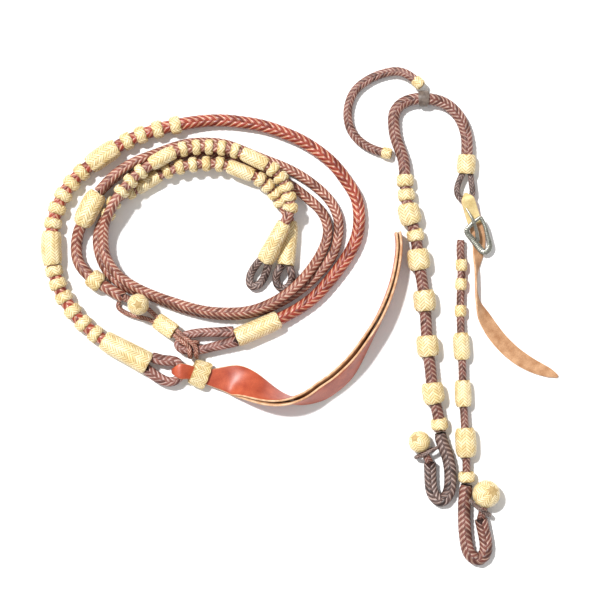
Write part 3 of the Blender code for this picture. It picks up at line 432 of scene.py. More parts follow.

# %% [markdown]
# ## Rawhide for the buttons
#
# Rawhide is skin that was scraped and dried but not tanned.  It is hard, cream to straw yellow and
# slightly translucent, with a satin shine; its strands are darkened towards their sides with painted
# shade where they meet.

# %% Woven rawhide


def rawhide(name, pale, straw, crevice_shade):
    """Dried skin cut in fine strands: cream, satin, with painted shade darkening the strands' sides."""
    material, tree, shader = start_material(name, 0.4)
    edge = add(tree, "Attribute", {"attribute_name": "edge"}).outputs["Fac"]
    tone = add(tree, "Attribute", {"attribute_name": "tone"}).outputs["Fac"]
    patch = grains(tree, 9.0, 2.0)
    body = ramp(tree, patch, [(0.35, pale), (0.68, straw)])
    strand = ramp(tree, tone, [(0.0, "#e0d2b4"), (0.5, "#ffffff"), (1.0, "#fffdf6")])
    body = blend_colours(tree, 0.8, body, strand, "MULTIPLY")
    # painted shade: the strands darken towards their sides, where they meet their neighbours
    side = ramp(tree, edge, [(0.0, "#ffffff"), (0.7, "#f7efdc"), (1.0, crevice_shade)])
    body = blend_colours(tree, 1.0, body, side, "MULTIPLY")
    tree.links.new(body, shader.inputs["Base Color"])
    shader.inputs["Subsurface Weight"].default_value = 0.06
    shader.inputs["Subsurface Radius"].default_value = (0.0012, 0.0009, 0.0005)
    shader.inputs["Subsurface Scale"].default_value = 1.0
    bump(tree, shader, grains(tree, 0.7, 3.0, 0.6), 0.06, 0.6)
    return material


# the last colour is painted shade at the sides of the strands
RAWHIDE = rawhide("woven_rawhide", "#f5e9c8", "#ecd8a6", "#bd9d68")

# %% [markdown]
# ## Dark cores, strap leather and metal
#
# Under the strands lies a core that hardly gets any light, so it is given a plain, dark colour of
# painted shade.  The straps are bridle leather: a smooth dyed grain side with a fine bump, a pale
# fibrous flesh side, and a burnished edge.  The buckle is cast nickel silver with a hand-cut border.

# %% Cores, strap leather, metal


def hollow(name, dark, light, size_mm):
    material, tree, shader = start_material(name, 0.75, specular=0.2)
    shade = ramp(tree, grains(tree, size_mm), [(0.3, dark), (0.7, light)])
    tree.links.new(shade, shader.inputs["Base Color"])
    return material


def strap_side(name, low, high, size_mm, roughness, depth_mm, coarse_mm=14.0, stretch=(1, 1, 1)):
    """One side of a strap: colour from broad patches, texture from fine grains."""
    material, tree, shader = start_material(name, roughness)
    patches = ramp(tree, grains(tree, coarse_mm, 3.0), [(0.32, low), (0.7, high)])
    fine = grains(tree, size_mm, 5.0, 0.62, stretch)
    speck = ramp(tree, fine, [(0.3, "#c9bfb8"), (0.62, "#ffffff")])
    tree.links.new(blend_colours(tree, 0.75, patches, speck, "MULTIPLY"),
                   shader.inputs["Base Color"])
    bump(tree, shader, fine, depth_mm, 0.8)
    return material


def nickel_silver(name):
    """Cast and polished, with tarnish left in the cuts."""
    material, tree, shader = start_material(name, 0.34, 1.0)
    edge = add(tree, "Attribute", {"attribute_name": "edge"}).outputs["Fac"]
    shine = ramp(tree, grains(tree, 2.2, 3.0), [(0.3, "#84837a"), (0.7, "#c6c6bd")])
    cut = ramp(tree, edge, [(0.0, "#ffffff"), (0.75, "#d8d8d0"), (1.0, "#6f6d66")])
    tree.links.new(blend_colours(tree, 1.0, shine, cut, "MULTIPLY"), shader.inputs["Base Color"])
    bump(tree, shader, grains(tree, 0.5, 3.0), 0.02, 0.5)
    return material


# painted shade: the plait and button cores are coloured darker than their strands, as shade between the
# strands
CORE_PAINTED_SHADE = hollow("plait_core_painted_shade", "#221413", "#3d2622", 3.0)
BUTTON_CORE_PAINTED_SHADE = hollow("button_core_painted_shade", "#a98c5c", "#c2a774", 2.0)
STUD_HIDE = hollow("stud_hide", "#9c8f80", "#bdb1a2", 1.5)
GRAIN_SIDE = strap_side("bridle_leather_grain", "#a03b22", "#c8603f", 0.8, 0.4, 0.05)
FLESH_SIDE = strap_side("bridle_leather_flesh", "#a97850", "#cfa27a", 0.9, 0.78, 0.12, 10.0)
PALE_FLESH = strap_side("bridle_leather_new", "#d9bd7c", "#f2dfa6", 0.9, 0.7, 0.1, 8.0)
CUT_EDGE = strap_side("bridle_leather_edge", "#c89468", "#efc9a2", 0.7, 0.6, 0.06, 6.0)
BAND_LEATHER = strap_side("band_leather", "#5d5048", "#82746a", 0.8, 0.5, 0.06, 4.0)
NICKEL = nickel_silver("nickel_silver")

# %% [markdown]
# ## One strand of a braid
#
# In a round braid each strand runs over some neighbours, then dives under as many.  Only the part
# that lies on top is ever seen, so one closed slab, crowned across and dipping at both ends, is
# modelled once.  The braid is then that slab many times over: right-handed in one column and
# left-handed in the next, half a step apart, which is what makes the chevrons.

# %% The slab that every strand is made from


def slab(long_cuts, cross_cuts):
    """A closed slab: x and y from -1 to 1 along and across, z from 0 underneath to 1 on top."""
    shape = bmesh.new()
    bmesh.ops.create_grid(shape, x_segments=long_cuts, y_segments=cross_cuts, size=1)
    bmesh.ops.solidify(shape, geom=shape.faces[:], thickness=0.5)
    bmesh.ops.recalc_face_normals(shape, faces=shape.faces)
    corners = np.array([v.co[:] for v in shape.verts])
    faces = [[v.index for v in face.verts] for face in shape.faces]
    shape.free()
    low = corners.min(axis=0)
    corners = (corners - low) / (corners.max(axis=0) - low)
    corners[:, :2] = corners[:, :2] * 2 - 1
    # solidify lists its corners and faces in an order that changes from run to run
    order = np.lexsort(corners.round(6).T)
    faces = np.argsort(order)[np.array(faces)]
    return corners[order], faces[np.lexsort(np.sort(faces, axis=1).T)]


CORD_SLAB = slab(6, 4)
FINE_SLAB = slab(4, 2)
print("slab faces:", len(CORD_SLAB[1]), "and", len(FINE_SLAB[1]))

# %% [markdown]
# ## Gathering many shapes into one piece
#
# A piece is a list of shapes with a material and two numbers for each corner, the edge and the
# tone.  They are gathered in arrays and made into a mesh in one go, which is far quicker than
# joining hundreds of objects.

# %% A batch of shapes that becomes one piece


class Batch:
    """Corners, faces, materials and attributes of one piece."""

    def __init__(self):
        self.corners, self.faces, self.slots, self.edge, self.tone = [], [], [], [], []
        self.count = 0

    def put(self, corners, faces, slot=0, edge=0.0, tone=0.5):
        corners = np.asarray(corners, float)
        self.corners.append(corners)
        self.edge.append(np.broadcast_to(edge, len(corners)))
        self.tone.append(np.broadcast_to(tone, len(corners)))
        self.faces += [[i + self.count for i in face] for face in faces]
        slots = [slot] * len(faces) if isinstance(slot, int) else list(slot)
        self.slots += slots
        self.count += len(corners)

    def make(self, name, node, body, materials):
        mesh = bpy.data.meshes.new(name)
        mesh.from_pydata(np.concatenate(self.corners).tolist(), [], self.faces)
        for label, values in (("edge", self.edge), ("tone", self.tone)):
            layer = mesh.attributes.new(label, "FLOAT", "POINT")
            layer.data.foreach_set("value", np.concatenate(values).astype(np.float32))
        for material in materials:
            mesh.materials.append(material)
        mesh.polygons.foreach_set("material_index", np.array(self.slots, np.int32))
        mesh.shade_smooth()
        mesh.set_sharp_from_angle(angle=math.radians(50))
        piece = bpy.data.objects.new(name, mesh)
        bpy.context.scene.collection.objects.link(piece)
        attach(piece, body)
        if node:
            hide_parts(node)
        print(name, len(mesh.polygons), "faces")
        return piece


def shell(across, along, spot, paint=None):
    """A grid bent round to the shape that spot(u, v) gives, u round and v along, both 0 to 1.

    paint(u, v) gives a face its material slot; without it the corners and faces come alone."""
    shape = bmesh.new()
    bmesh.ops.create_grid(shape, x_segments=across, y_segments=along, size=1)
    if paint:
        for face in shape.faces:
            middle = face.calc_center_median()
            face.material_index = paint(middle.x / 2 + 0.5, middle.y / 2 + 0.5)
    flat = np.array([v.co[:2] for v in shape.verts])
    flat = (flat - flat.min(axis=0)) / (flat.max(axis=0) - flat.min(axis=0))
    for corner, target in zip(shape.verts, spot(flat[:, 0], flat[:, 1])):
        corner.co = target
    bmesh.ops.remove_doubles(shape, verts=shape.verts, dist=1e-6)
    rims = [edge for edge in shape.edges if edge.is_boundary]
    if rims:
        ends = bmesh.ops.holes_fill(shape, edges=rims)["faces"]
        for face in ends:
            face.material_index = paint(0.0, 0.5) if paint else 0
    bmesh.ops.recalc_face_normals(shape, faces=shape.faces)
    shape.verts.index_update()
    corners = np.array([v.co[:] for v in shape.verts])
    faces = [[v.index for v in face.verts] for face in shape.faces]
    slots = [face.material_index for face in shape.faces]
    shape.free()
    return (corners, faces, slots) if paint else (corners, faces)


# %% [markdown]
# ## Wrapping strands round a route
#
# `wrap` turns a distance along a route, an angle round it and a height over its middle into a
# place.  `weave` lays the slabs with it.  The number of columns sets how many chevrons stand side
# by side round the cord, and the pitch sets how far apart the strands follow each other.

# %% Wrap and weave


def wrap(route, s, angle, wide, high):
    middle, _, side, up = route.frames(s)
    return (middle + side * (np.cos(angle) * wide)[:, None]
            + up * (np.sin(angle) * high)[:, None])


SPAN = 1.5                      # pitches that a strand moves along while it crosses its column
OVERRUN = 1.14                  # how far each end runs on under the next column


def weave(batch, route, start, end, reach, columns, pitch, thick, template, seed,
          turn=math.pi / 2, fill=0.93):
    """Lays strands from start to end; reach(s) gives the half width and half height."""
    corners, faces = template
    along, across, top = corners.T
    rng = np.random.default_rng(seed)
    first = math.floor(start / pitch) - 2
    last = math.ceil(end / pitch) + 2
    for column in range(columns):
        hand = 1 if column % 2 == 0 else -1
        middle_angle = turn + (column + 0.5) * math.tau / columns
        steps = np.arange(first, last) * pitch + hand * SPAN / 2 * pitch
        steps = steps[(steps > start - 0.2 * pitch) & (steps < end + 0.2 * pitch)]
        if not len(steps):
            continue
        count = len(steps)
        u = np.tile(along, count)
        v = np.tile(across, count)
        w = np.tile(top, count)
        s = np.repeat(steps, len(along)) + hand * u * SPAN / 2 * pitch * OVERRUN
        s = np.clip(s + v * pitch / 2 * fill, start, end)
        angle = middle_angle + u * math.pi / columns * OVERRUN
        drop = thick * (0.42 * v ** 2 + 0.72 * np.abs(u) ** 3.2)
        lowered = np.where(w > 0.5, drop, 1.7 * thick)
        wide, high = reach(s)
        spots = wrap(route, s, angle, wide - lowered, high - lowered)
        # edge: pale wear on the calf strands, and painted shade at the sides of the rawhide strands
        worn = np.where(w > 0.5, np.abs(v) ** 1.5, 1.0)
        tone = np.repeat(rng.uniform(0, 1, count), len(along))
        copies = np.concatenate([faces + i * len(along) for i in range(count)])
        batch.put(spots, copies.tolist(), 0, worn, tone)


def core(batch, route, start, end, reach, sunk, slot=1, around=20, step=0.0025, edge=1.0):
    """The closed body under the strands."""
    def spot(u, v):
        s = start + (end - start) * v
        wide, high = reach(s)
        return wrap(route, s, u * math.tau, wide - sunk, high - sunk)
    cuts = max(4, round((end - start) / step))
    corners, faces = shell(around, cuts, spot)
    batch.put(corners, faces, slot, edge, 0.3)


def steady(radius):
    return lambda s: (np.full_like(s, radius), np.full_like(s, radius))


# %% [markdown]
# ## Sizes
#
# Sizes are in metres.  A cord is given by its radius, and a button by its radius and its length.
# The lists called ROWS and AT say how far along its cord the middle of each button lies.

# %% Sizes of cords, buttons and straps
ROMAL_R = 0.0070                # plaited cords
REIN_R = 0.0056
YOKE_R = 0.0065
HEADSTALL_R = 0.0066
RIGHT_CHEEK_R = 0.0045
EAR_LOOP_R = 0.0050
CONNECTOR_R = 0.0026            # the doubled strand that links reins and romal
EYELET_R = 0.0022
START_LOOP_R = 0.0042           # end loops
END_LOOP_R = 0.0062
REIN_LOOP_R = 0.0044
CROWN_LOOP_R = 0.0034
LEFT_BIT_R = 0.0070
RIGHT_BIT_R = 0.0073
ROMAL_SMALL = (0.0096, 0.0112)  # buttons: outer radius, length along the cord
ROMAL_LONG = (0.0109, 0.0350)
ROMAL_START = (0.0104, 0.0490)
ROMAL_END = (0.0124, 0.0540)
REIN_SMALL = (0.0084, 0.0088)
REIN_LONG = (0.0080, 0.0285)
REIN_END = (0.0098, 0.0460)
JOIN_BUTTON = (0.0119, 0.0370)
YOKE_BUTTON = (0.0104, 0.0150)
CHEEK_SMALL = (0.0092, 0.0125)
CHEEK_LONG = (0.0118, 0.0215)
RIGHT_SMALL = (0.0064, 0.0125)
RIGHT_LONG = (0.0089, 0.0280)
RIGHT_LOW_LONG = (0.0112, 0.0300)
RIGHT_END_SMALL = (0.0089, 0.0115)
EAR_BUTTON = (0.0062, 0.0110)
CROWN_END = (0.0098, 0.0200)
CROWN_BAND = (0.0086, 0.0100)
YOKE_KNOB_R = 0.0114
LEFT_KNOB_R = 0.0116
RIGHT_KNOB_R = 0.0146
NECK_R = 0.0044                 # between a knob and its cord
RIGHT_NECK_R = 0.0048
POPPER_LEATHER = 0.0034         # thickness of one layer
POPPER_WIDTH = 0.0330
POPPER_BUTTON = [               # share of its length, half width, half height
    (0, 0.0126, 0.0109), (0.2, 0.0140, 0.0108), (0.8, 0.0148, 0.0088), (1, 0.0141, 0.0078),
]
BILLET_LEATHER = 0.0026
BILLET_WIDTH = 0.0150
TONGUE_R = 0.0015
KEEPER_LENGTH = 0.0240
KEEPER_WALL = 0.0022
LOOP_CLEAR = 0.0014             # between a button's face and the loop that leaves it
FOLD_CLEAR = 0.0010             # between a loop and the leather folded round it
LOOP_TIP_SHARE = 0.78           # the end loop is thinner where the popper's fold holds it
ROMAL_ROWS = [
    (0.4325, 0.4515, 0.4700, 0.4860),
    (0.5435, 0.5590, 0.5745, 0.5900, 0.6060),
    (0.6560, 0.6700, 0.6855, 0.7025, 0.7195, 0.7365),
]
ROMAL_LONG_AT = (0.5155, 0.6320)
REIN_A_ROWS = [
    (0.0630, 0.0740, 0.0845, 0.0960, 0.1080),
    (0.1520, 0.1665, 0.1800, 0.1935, 0.2075),
    (0.2575, 0.2720, 0.2865),
]
REIN_A_LONG_AT = (0.1300, 0.2310)
REIN_B_ROWS = [
    (0.0690, 0.0800, 0.0910, 0.1020),
    (0.1470, 0.1610, 0.1750, 0.1890, 0.2030),
    (0.2480, 0.2700, 0.2830),
]
REIN_B_LONG_AT = (0.1245, 0.2265)
YOKE_BUTTON_AT = 0.1060
CROWN_END_AT = 0.0105
CROWN_BAND_AT = 0.1060
LEFT_UPPER = [(0.2150, CHEEK_SMALL), (0.2300, CHEEK_SMALL), (0.2505, CHEEK_LONG),
              (0.2735, CHEEK_SMALL)]
LEFT_LONG_AT = (0.2990, 0.3425, 0.3900)
LEFT_LOWER = [(0.4395, CHEEK_LONG), (0.4730, CHEEK_SMALL)]
RIGHT_UPPER = [(0.0265, RIGHT_SMALL), (0.0465, RIGHT_SMALL), (0.0745, RIGHT_SMALL),
               (0.1115, RIGHT_LONG)]
RIGHT_LONG_AT = 0.1610
RIGHT_LOWER = [(0.2120, RIGHT_LOW_LONG), (0.2485, RIGHT_END_SMALL)]
FOLD_WIDTHS = [                 # degrees round the end loop, width of the popper's fold
    (68, 0.0124), (92, 0.0118), (118, 0.0084), (145, 0.0060), (180, 0.0052), (215, 0.0060),
    (242, 0.0084), (268, 0.0090), (292, 0.0082),
]
BILLET_FOLD = [                 # the same for the billet's fold round the crown's loop
    (-68, 0.0116), (-98, 0.0086), (-128, 0.0050), (-160, 0.0034), (-193, 0.0034), (-225, 0.0050),
    (-255, 0.0092), (-285, 0.0125),
]
print("buttons on the romal and reins:", sum(map(len, ROMAL_ROWS + REIN_A_ROWS + REIN_B_ROWS))
      + len(ROMAL_LONG_AT + REIN_A_LONG_AT + REIN_B_LONG_AT))

# %% [markdown]
# ## The plaited cords
#
# A twelve-strand round plait shows two columns of chevrons from any side: over three, under three.
# The strands lie at about 45 degrees, so a thicker cord needs a longer step.  A cord can be bent
# but not stretched.

# %% Lay the plaits


COLUMNS = 4                     # columns of strands round a cord
STRAND_SHARE = 0.2              # thickness of a strand, as a share of the cord's radius
SUNK = 0.8                      # how far the core lies down, as a share of a strand's thickness
END_OVERLAP = 0.0025            # a rein runs on past its last point, under the join button


def plait(name, node, body, route, radius, pitch, material, seed, start, end):
    thick = STRAND_SHARE * radius
    batch = Batch()
    weave(batch, route, start, end, steady(radius), COLUMNS, pitch, thick, CORD_SLAB, seed)
    core(batch, route, start, end, steady(radius), SUNK * thick)
    return batch.make(name, node, body, [material, CORE_PAINTED_SHADE])


CORDS = [
    # piece, node, body, route, radius, pitch, material, start
    ("romal_plait", "romal_cord", "romal", "romal", ROMAL_R, 0.0073, CORD_CALF, 0.002),
    ("rein_a_plait", "rein_a_cord", "reins", "rein_a", REIN_R, 0.0058, REIN_CALF, 0.002),
    ("rein_b_plait", "rein_b_cord", "reins", "rein_b", REIN_R, 0.0058, REIN_CALF, 0.002),
    ("yoke_plait", "yoke_cord", "reins", "yoke", YOKE_R, 0.0066, REIN_CALF, 0.030),
    ("headstall_plait", "headstall_cord", "headstall", "headstall", HEADSTALL_R, 0.0050,
     BRIDLE_CALF, 0.002),
    ("right_cheek_plait", "right_cheek_cord", "right_cheek", "right", RIGHT_CHEEK_R, 0.0046,
     BRIDLE_CALF, 0.0),
    ("ear_loop_plait", "ear_loop_cord", "ear_loop", "ear", EAR_LOOP_R, 0.0046, BRIDLE_CALF, 0.0),
]
for seed, (name, node, body, key, radius, pitch, material, start) in enumerate(CORDS):
    route = ROUTES[key]
    end = route.length + (END_OVERLAP if key in ("rein_a", "rein_b") else 0.0)
    piece = plait(name, node, body, route, radius, pitch, material, seed, start, end)
    line = route.path(start, end)
    print(name, "declared", round(end - start, 3), "m")

# %% [markdown]
# ## The end loops
#
# Each cord ends in a loop of the same plait, finer and greyer where hands and metal rub it.

# %% Loops and bit ends


def loop(node, body, points, radius, pitch, seed, material=WORN_CALF, level=True, tip=1.0,
         root=1.0, onward=0.0):
    """A plait along a loop; tip and root scale its radius, and it runs onward past both ends."""
    route = Route(points, level)
    batch = Batch()

    def reach(s):
        bow = np.sin(math.pi * np.clip(s / route.length, 0, 1))
        share = root + (tip - root) * bow ** (4 if tip < 1 else 1)
        return radius * share, radius * share

    thick = STRAND_SHARE * radius
    start, end = -onward, route.length + onward
    weave(batch, route, start, end, reach, COLUMNS, pitch, thick, CORD_SLAB, seed)
    core(batch, route, start, end, reach, SUNK * thick, around=16, step=0.0016)
    piece = batch.make(node + "_plait", node, body, [material, CORE_PAINTED_SHADE])
    return piece, route


loop("romal_start_loop", "romal", START_LOOP_ROUTE, START_LOOP_R, 0.0050, 21, DULL_CALF,
     root=1.42, tip=1.12, onward=0.002)
loop("romal_end_loop", "romal", END_LOOP_ROUTE, END_LOOP_R, 0.0060, 22, DULL_CALF,
     tip=LOOP_TIP_SHARE, onward=0.002)
loop("crown_end_loop", "headstall", CROWN_LOOP_ROUTE, CROWN_LOOP_R, 0.0038, 23, onward=0.002)
LEFT_BIT = loop("left_bit_loop", "headstall", LEFT_BIT_ROUTE, LEFT_BIT_R, 0.0056, 24)[1]
RIGHT_BIT = loop("right_bit_loop", "right_cheek", RIGHT_BIT_ROUTE, RIGHT_BIT_R, 0.0058, 25,
                 BRIDLE_CALF)[1]
loop("left_bit_eyelet", "headstall", LEFT_EYELET_ROUTE, EYELET_R, 0.0030, 26, level=False)
loop("right_bit_eyelet", "right_cheek", RIGHT_EYELET_ROUTE, EYELET_R, 0.0030, 27, level=False)


def rein_loop_points(route, hole_width, reach, height):
    """The route of a loop that leaves a button's face, goes round and comes back to it."""
    middle, forward, _, _ = (vectors[0] for vectors in route.frames(np.array([0.0, 0.001])))
    drop = -forward
    centre = middle + drop * LOOP_CLEAR
    out = np.array([drop[0], drop[1], 0.0])
    out /= np.linalg.norm(out)
    side = np.array([-out[1], out[0], 0.0])
    half = hole_width / 2 + REIN_LOOP_R
    root = REIN_LOOP_R + 0.0002
    shape = [(0, root), (0.28, half * 0.92), (0.6, half), (0.86, half * 0.72), (1, 0)]
    stations = shape + [(along, -across) for along, across in shape[-2::-1]]
    points = []
    for along, across in stations:
        point = centre + out * along * (reach - REIN_LOOP_R) + side * across
        fall = centre[2] + drop[2] * along * reach
        point[2] = max(height, fall) if along < 0.5 else height
        points.append(tuple(point / MM + ORIGIN))
    return points


loop("rein_a_bit_loop", "reins", rein_loop_points(ROUTES["rein_a"], 0.0052, 0.033, 0.0062),
     REIN_LOOP_R, 0.0046, 28, onward=0.0012)
loop("rein_b_bit_loop", "reins", rein_loop_points(ROUTES["rein_b"], 0.0072, 0.0272, 0.0058),
     REIN_LOOP_R, 0.0046, 29, onward=0.0012)

# %% [markdown]
# ## Woven buttons
#
# A button is a sleeve of fine rawhide strands woven over a wound core.  It is the same weave as the
# cords, with many more columns and strands under 2 mm wide, laid on a barrel: full in the middle
# and pulled in at both ends.  A row of small buttons is one piece with bare cord between them.

# %% Buttons on their cords
STRAND = 0.0033                 # pitch of the rawhide strands
BUTTON_START = 0.0005           # from a cord's end to the face of its end button
RAWHIDE_THICK = 0.0007
COLUMN_WIDTH = 0.0060


def barrel_reach(middle, length, radius, end_share):
    """Full radius along the middle, rounded down to a share of it at the ends."""
    def reach(s):
        away = np.clip(np.abs(s - middle) / (length / 2), 0, 1)
        shoulder = np.clip((away - 0.35) / 0.65, 0, 1)
        full = radius * (1 - (1 - end_share) * shoulder ** 2.6)
        return full, full
    return reach


def cover(batch, route, start, end, reach, columns, seed, pitch=STRAND, thick=RAWHIDE_THICK):
    """A woven rawhide sleeve over a closed core."""
    weave(batch, route, start, end, reach, columns, pitch, thick, FINE_SLAB, seed)
    core(batch, route, start + 0.0002, end - 0.0002, reach, SUNK * thick, around=28, step=0.0012)


def column_count(radius):
    """An even number of columns, each about COLUMN_WIDTH wide."""
    return max(8, 2 * round(math.tau * radius / COLUMN_WIDTH / 2))


def buttons(node, body, key, sizes, seed, end_share=0.78):
    """Buttons, each (distance along the cord, (radius, length)), as one piece."""
    batch = Batch()
    for number, (middle, (radius, length)) in enumerate(sizes):
        reach = barrel_reach(middle, length, radius, end_share)
        cover(batch, ROUTES[key], middle - length / 2, middle + length / 2, reach,
              column_count(radius), seed * 17 + number)
    return batch.make(node + "_weave", node, body, [RAWHIDE, BUTTON_CORE_PAINTED_SHADE])


def tapered(node, body, key, start, end, start_r, end_r, seed):
    """A long button that grows from one end to the other."""
    batch = Batch()

    def reach(s):
        share = (s - start) / (end - start)
        lead = np.clip(np.minimum(s - start, end - s) / 0.004, 0, 1)
        full = (start_r + (end_r - start_r) * share) * (0.88 + 0.12 * np.sqrt(lead))
        return full, full

    cover(batch, ROUTES[key], start, end, reach, column_count(max(start_r, end_r)), seed)
    return batch.make(node + "_weave", node, body, [RAWHIDE, BUTTON_CORE_PAINTED_SHADE])


for number, middles in enumerate(ROMAL_ROWS, 1):
    buttons(f"romal_small_buttons_{number}", "romal", "romal",
            [(middle, ROMAL_SMALL) for middle in middles], 40 + number)
for number, middle in enumerate(ROMAL_LONG_AT, 1):
    buttons(f"romal_long_button_{number}", "romal", "romal", [(middle, ROMAL_LONG)], 44 + number,
            0.84)
romal = ROUTES["romal"]
tapered("romal_start_button", "romal", "romal", BUTTON_START, ROMAL_START[1], ROMAL_START[0],
        ROMAL_START[0] * 0.96, 47)
tapered("romal_end_button", "romal", "romal", romal.length - ROMAL_END[1], romal.length,
        ROMAL_END[0] * 0.88, ROMAL_END[0], 48)
for label, rows, longs, first in (("a", REIN_A_ROWS, REIN_A_LONG_AT, 50),
                                  ("b", REIN_B_ROWS, REIN_B_LONG_AT, 60)):
    key = "rein_" + label
    for number, middles in enumerate(rows, 1):
        buttons(f"{key}_small_buttons_{number}", "reins", key,
                [(middle, REIN_SMALL) for middle in middles], first + number)
    for number, middle in enumerate(longs, 1):
        buttons(f"{key}_long_button_{number}", "reins", key, [(middle, REIN_LONG)],
                first + 4 + number, 0.86)
    tapered(f"{key}_end_button", "reins", key, BUTTON_START, REIN_END[1], REIN_END[0],
            REIN_END[0] * 0.80, first + 8)
join_radius, join_length = JOIN_BUTTON
buttons("rein_join_button", "reins", "yoke",
        [(BUTTON_START + join_length / 2, (join_radius * 0.95, join_length))], 70, 0.76)
buttons("yoke_button", "reins", "yoke", [(YOKE_BUTTON_AT, YOKE_BUTTON)], 71)
buttons("crown_end_button", "headstall", "headstall", [(CROWN_END_AT, CROWN_END)], 72, 0.86)
buttons("left_cheek_upper_buttons", "headstall", "headstall", LEFT_UPPER, 73)
for number, middle in enumerate(LEFT_LONG_AT, 1):
    buttons(f"left_cheek_long_button_{number}", "headstall", "headstall",
            [(middle, CHEEK_LONG)], 73 + number, 0.8)
buttons("left_cheek_low_buttons", "headstall", "headstall", LEFT_LOWER, 77)
buttons("right_cheek_upper_buttons", "right_cheek", "right", RIGHT_UPPER, 78)
buttons("right_cheek_long_button", "right_cheek", "right", [(RIGHT_LONG_AT, RIGHT_LONG)], 79,
        0.8)
buttons("right_cheek_low_buttons", "right_cheek", "right", RIGHT_LOWER, 80)
ear = ROUTES["ear"]
ear_length = EAR_BUTTON[1]
buttons("ear_loop_top_button", "ear_loop", "ear", [(ear_length / 2 - BUTTON_START, EAR_BUTTON)], 81)
buttons("ear_loop_low_button", "ear_loop", "ear",
        [(ear.length - ear_length / 2 + BUTTON_START, EAR_BUTTON)], 82)

# %% [markdown]
# ## Knobs
#
# The knobs that button through a loop are balls of the same weave.  A ball is a barrel whose radius
# follows a circle, so the strands narrow by themselves towards the pole, where a stud of wound
# leather closes the hole.  A bent neck of fine plait joins the ball to its cord.

# %% Knobs with their studs and necks
POLE = 0.34                     # where the weave starts, as an angle from the pole
KNOB_PITCH = 0.0034             # of the strands on a knob and on its neck
STUD_RISE, STUD_SHARE = 0.25, 0.74  # the stud's middle and radius, as shares of the knob's radius


class Ball:
    """Stands in for a route: s runs over the surface from pole to pole."""

    def __init__(self, centre, axis, radius):
        self.centre, self.axis, self.radius = centre, axis, radius
        self.side = unit(np.cross(axis, (0.3, 1.0, 0.2)))
        self.up = np.cross(self.side, axis)

    def frames(self, s):
        rise = -self.radius * np.cos(s / self.radius)
        middle = self.centre + self.axis * rise[..., None]
        spread = [np.broadcast_to(way, middle.shape) for way in (self.axis, self.side, self.up)]
        return middle, *spread

    def reach(self, s):
        ring = self.radius * np.clip(np.sin(s / self.radius), 0.02, 1)
        return ring, ring


def knob(node, body, centre, foot, facing, radius, neck, axis, seed, stud_slot):
    """A woven ball whose pole is turned along the axis, on a plaited neck to its foot."""
    centre = place(centre)
    axis = unit(np.array(axis, float))
    ball = Ball(centre, -axis, radius)
    half_turn = math.pi * radius
    batch = Batch()
    weave(batch, ball, POLE * radius, half_turn - 0.2 * radius, ball.reach,
          column_count(radius) - 2, KNOB_PITCH, RAWHIDE_THICK, FINE_SLAB, seed)
    core(batch, ball, 0.02 * radius, half_turn - 0.02 * radius, ball.reach,
         SUNK * RAWHIDE_THICK, 1, 28, 0.0009)
    stud = Ball(centre + axis * radius * STUD_RISE, -axis, radius * STUD_SHARE)
    core(batch, stud, 0.02 * radius, POLE * radius * 0.72, stud.reach, 0.0, stud_slot, 20, 0.0006)
    ends = unit(foot - centre)
    back = centre + ends * radius * 0.86
    bend = back + (foot - back) * 0.5 - facing * 0.0008
    route = Route([tuple(point / MM + ORIGIN) for point in
                   (back, back * 0.5 + bend * 0.5, bend, bend * 0.4 + foot * 0.6, foot)], False)
    faces_before = len(batch.slots)
    weave(batch, route, 0.0, route.length, steady(neck), COLUMNS, KNOB_PITCH, 0.0009,
          CORD_SLAB, seed)
    core(batch, route, 0.0, route.length, steady(neck), 0.0007, 4, 16, 0.0012)
    for i in range(faces_before, len(batch.slots)):
        batch.slots[i] = 3 if batch.slots[i] == 0 else 4
    return batch.make(node + "_weave", node, body,
                      [RAWHIDE, BUTTON_CORE_PAINTED_SHADE, STUD_HIDE, BRIDLE_CALF, CORE_PAINTED_SHADE])


def knob_on(node, body, route, centre, radius, neck, axis, seed, stud_slot=0):
    middle, forward, _, _ = (vectors[0] for vectors in route.frames(
        np.array([route.length, route.length])))
    knob(node, body, centre, middle, forward, radius, neck, axis, seed, stud_slot)


knob_on("yoke_knob", "reins", ROUTES["yoke"], YOKE_KNOB_CENTRE, YOKE_KNOB_R, NECK_R,
        (0.05, -0.05, 1), 90, 2)
knob_on("left_bit_knob", "headstall", LEFT_BIT, LEFT_KNOB_CENTRE, LEFT_KNOB_R, NECK_R,
        (-0.5, 0.4, 0.8), 91)
knob_on("right_bit_knob", "right_cheek", RIGHT_BIT, RIGHT_KNOB_CENTRE, RIGHT_KNOB_R,
        RIGHT_NECK_R, (0.45, 0.3, 0.85), 92)

# %% [markdown]
# ## Connector, keeper and popper button
#
# The connector is one thin plait that turns round the leg of the romal's loop, so its route stands
# upright there and needs cross directions that are carried along it.  The keeper and the popper's
# button are oval sleeves of the buttons' weave.

# %% Connector strand and its keeper


def ring_round_leg(offset, first, last, steps):
    """Places of a strand that turns round the romal's leg, from the first angle to the last."""
    centre = np.array(LINK_CENTRE)
    reach = (START_LOOP_R + 0.0006 + CONNECTOR_R) / MM
    points = []
    for i in range(steps + 1):
        turn = math.radians(first + (last - first) * i / steps)
        points.append(centre + (offset + 1.2 * i / steps, reach * math.cos(turn),
                                reach * math.sin(turn)))
    return points


right_ring = ring_round_leg(RING_OFFSETS[0] / MM, *RING_TURN)
left_ring = ring_round_leg(RING_OFFSETS[1] / MM, *RING_TURN)
turn_over = [right_ring[-1] + (-1.8, 0.2, 3.0), left_ring[-1] + (1.8, 0.2, 3.0)]
strand_points = (CONNECTOR_UPPER[:-1] + right_ring + turn_over + left_ring[::-1]
                 + CONNECTOR_LOWER[-2::-1])
loop("connector_loop", "reins", strand_points, CONNECTOR_R, 0.0032, 95, REIN_CALF, level=False)


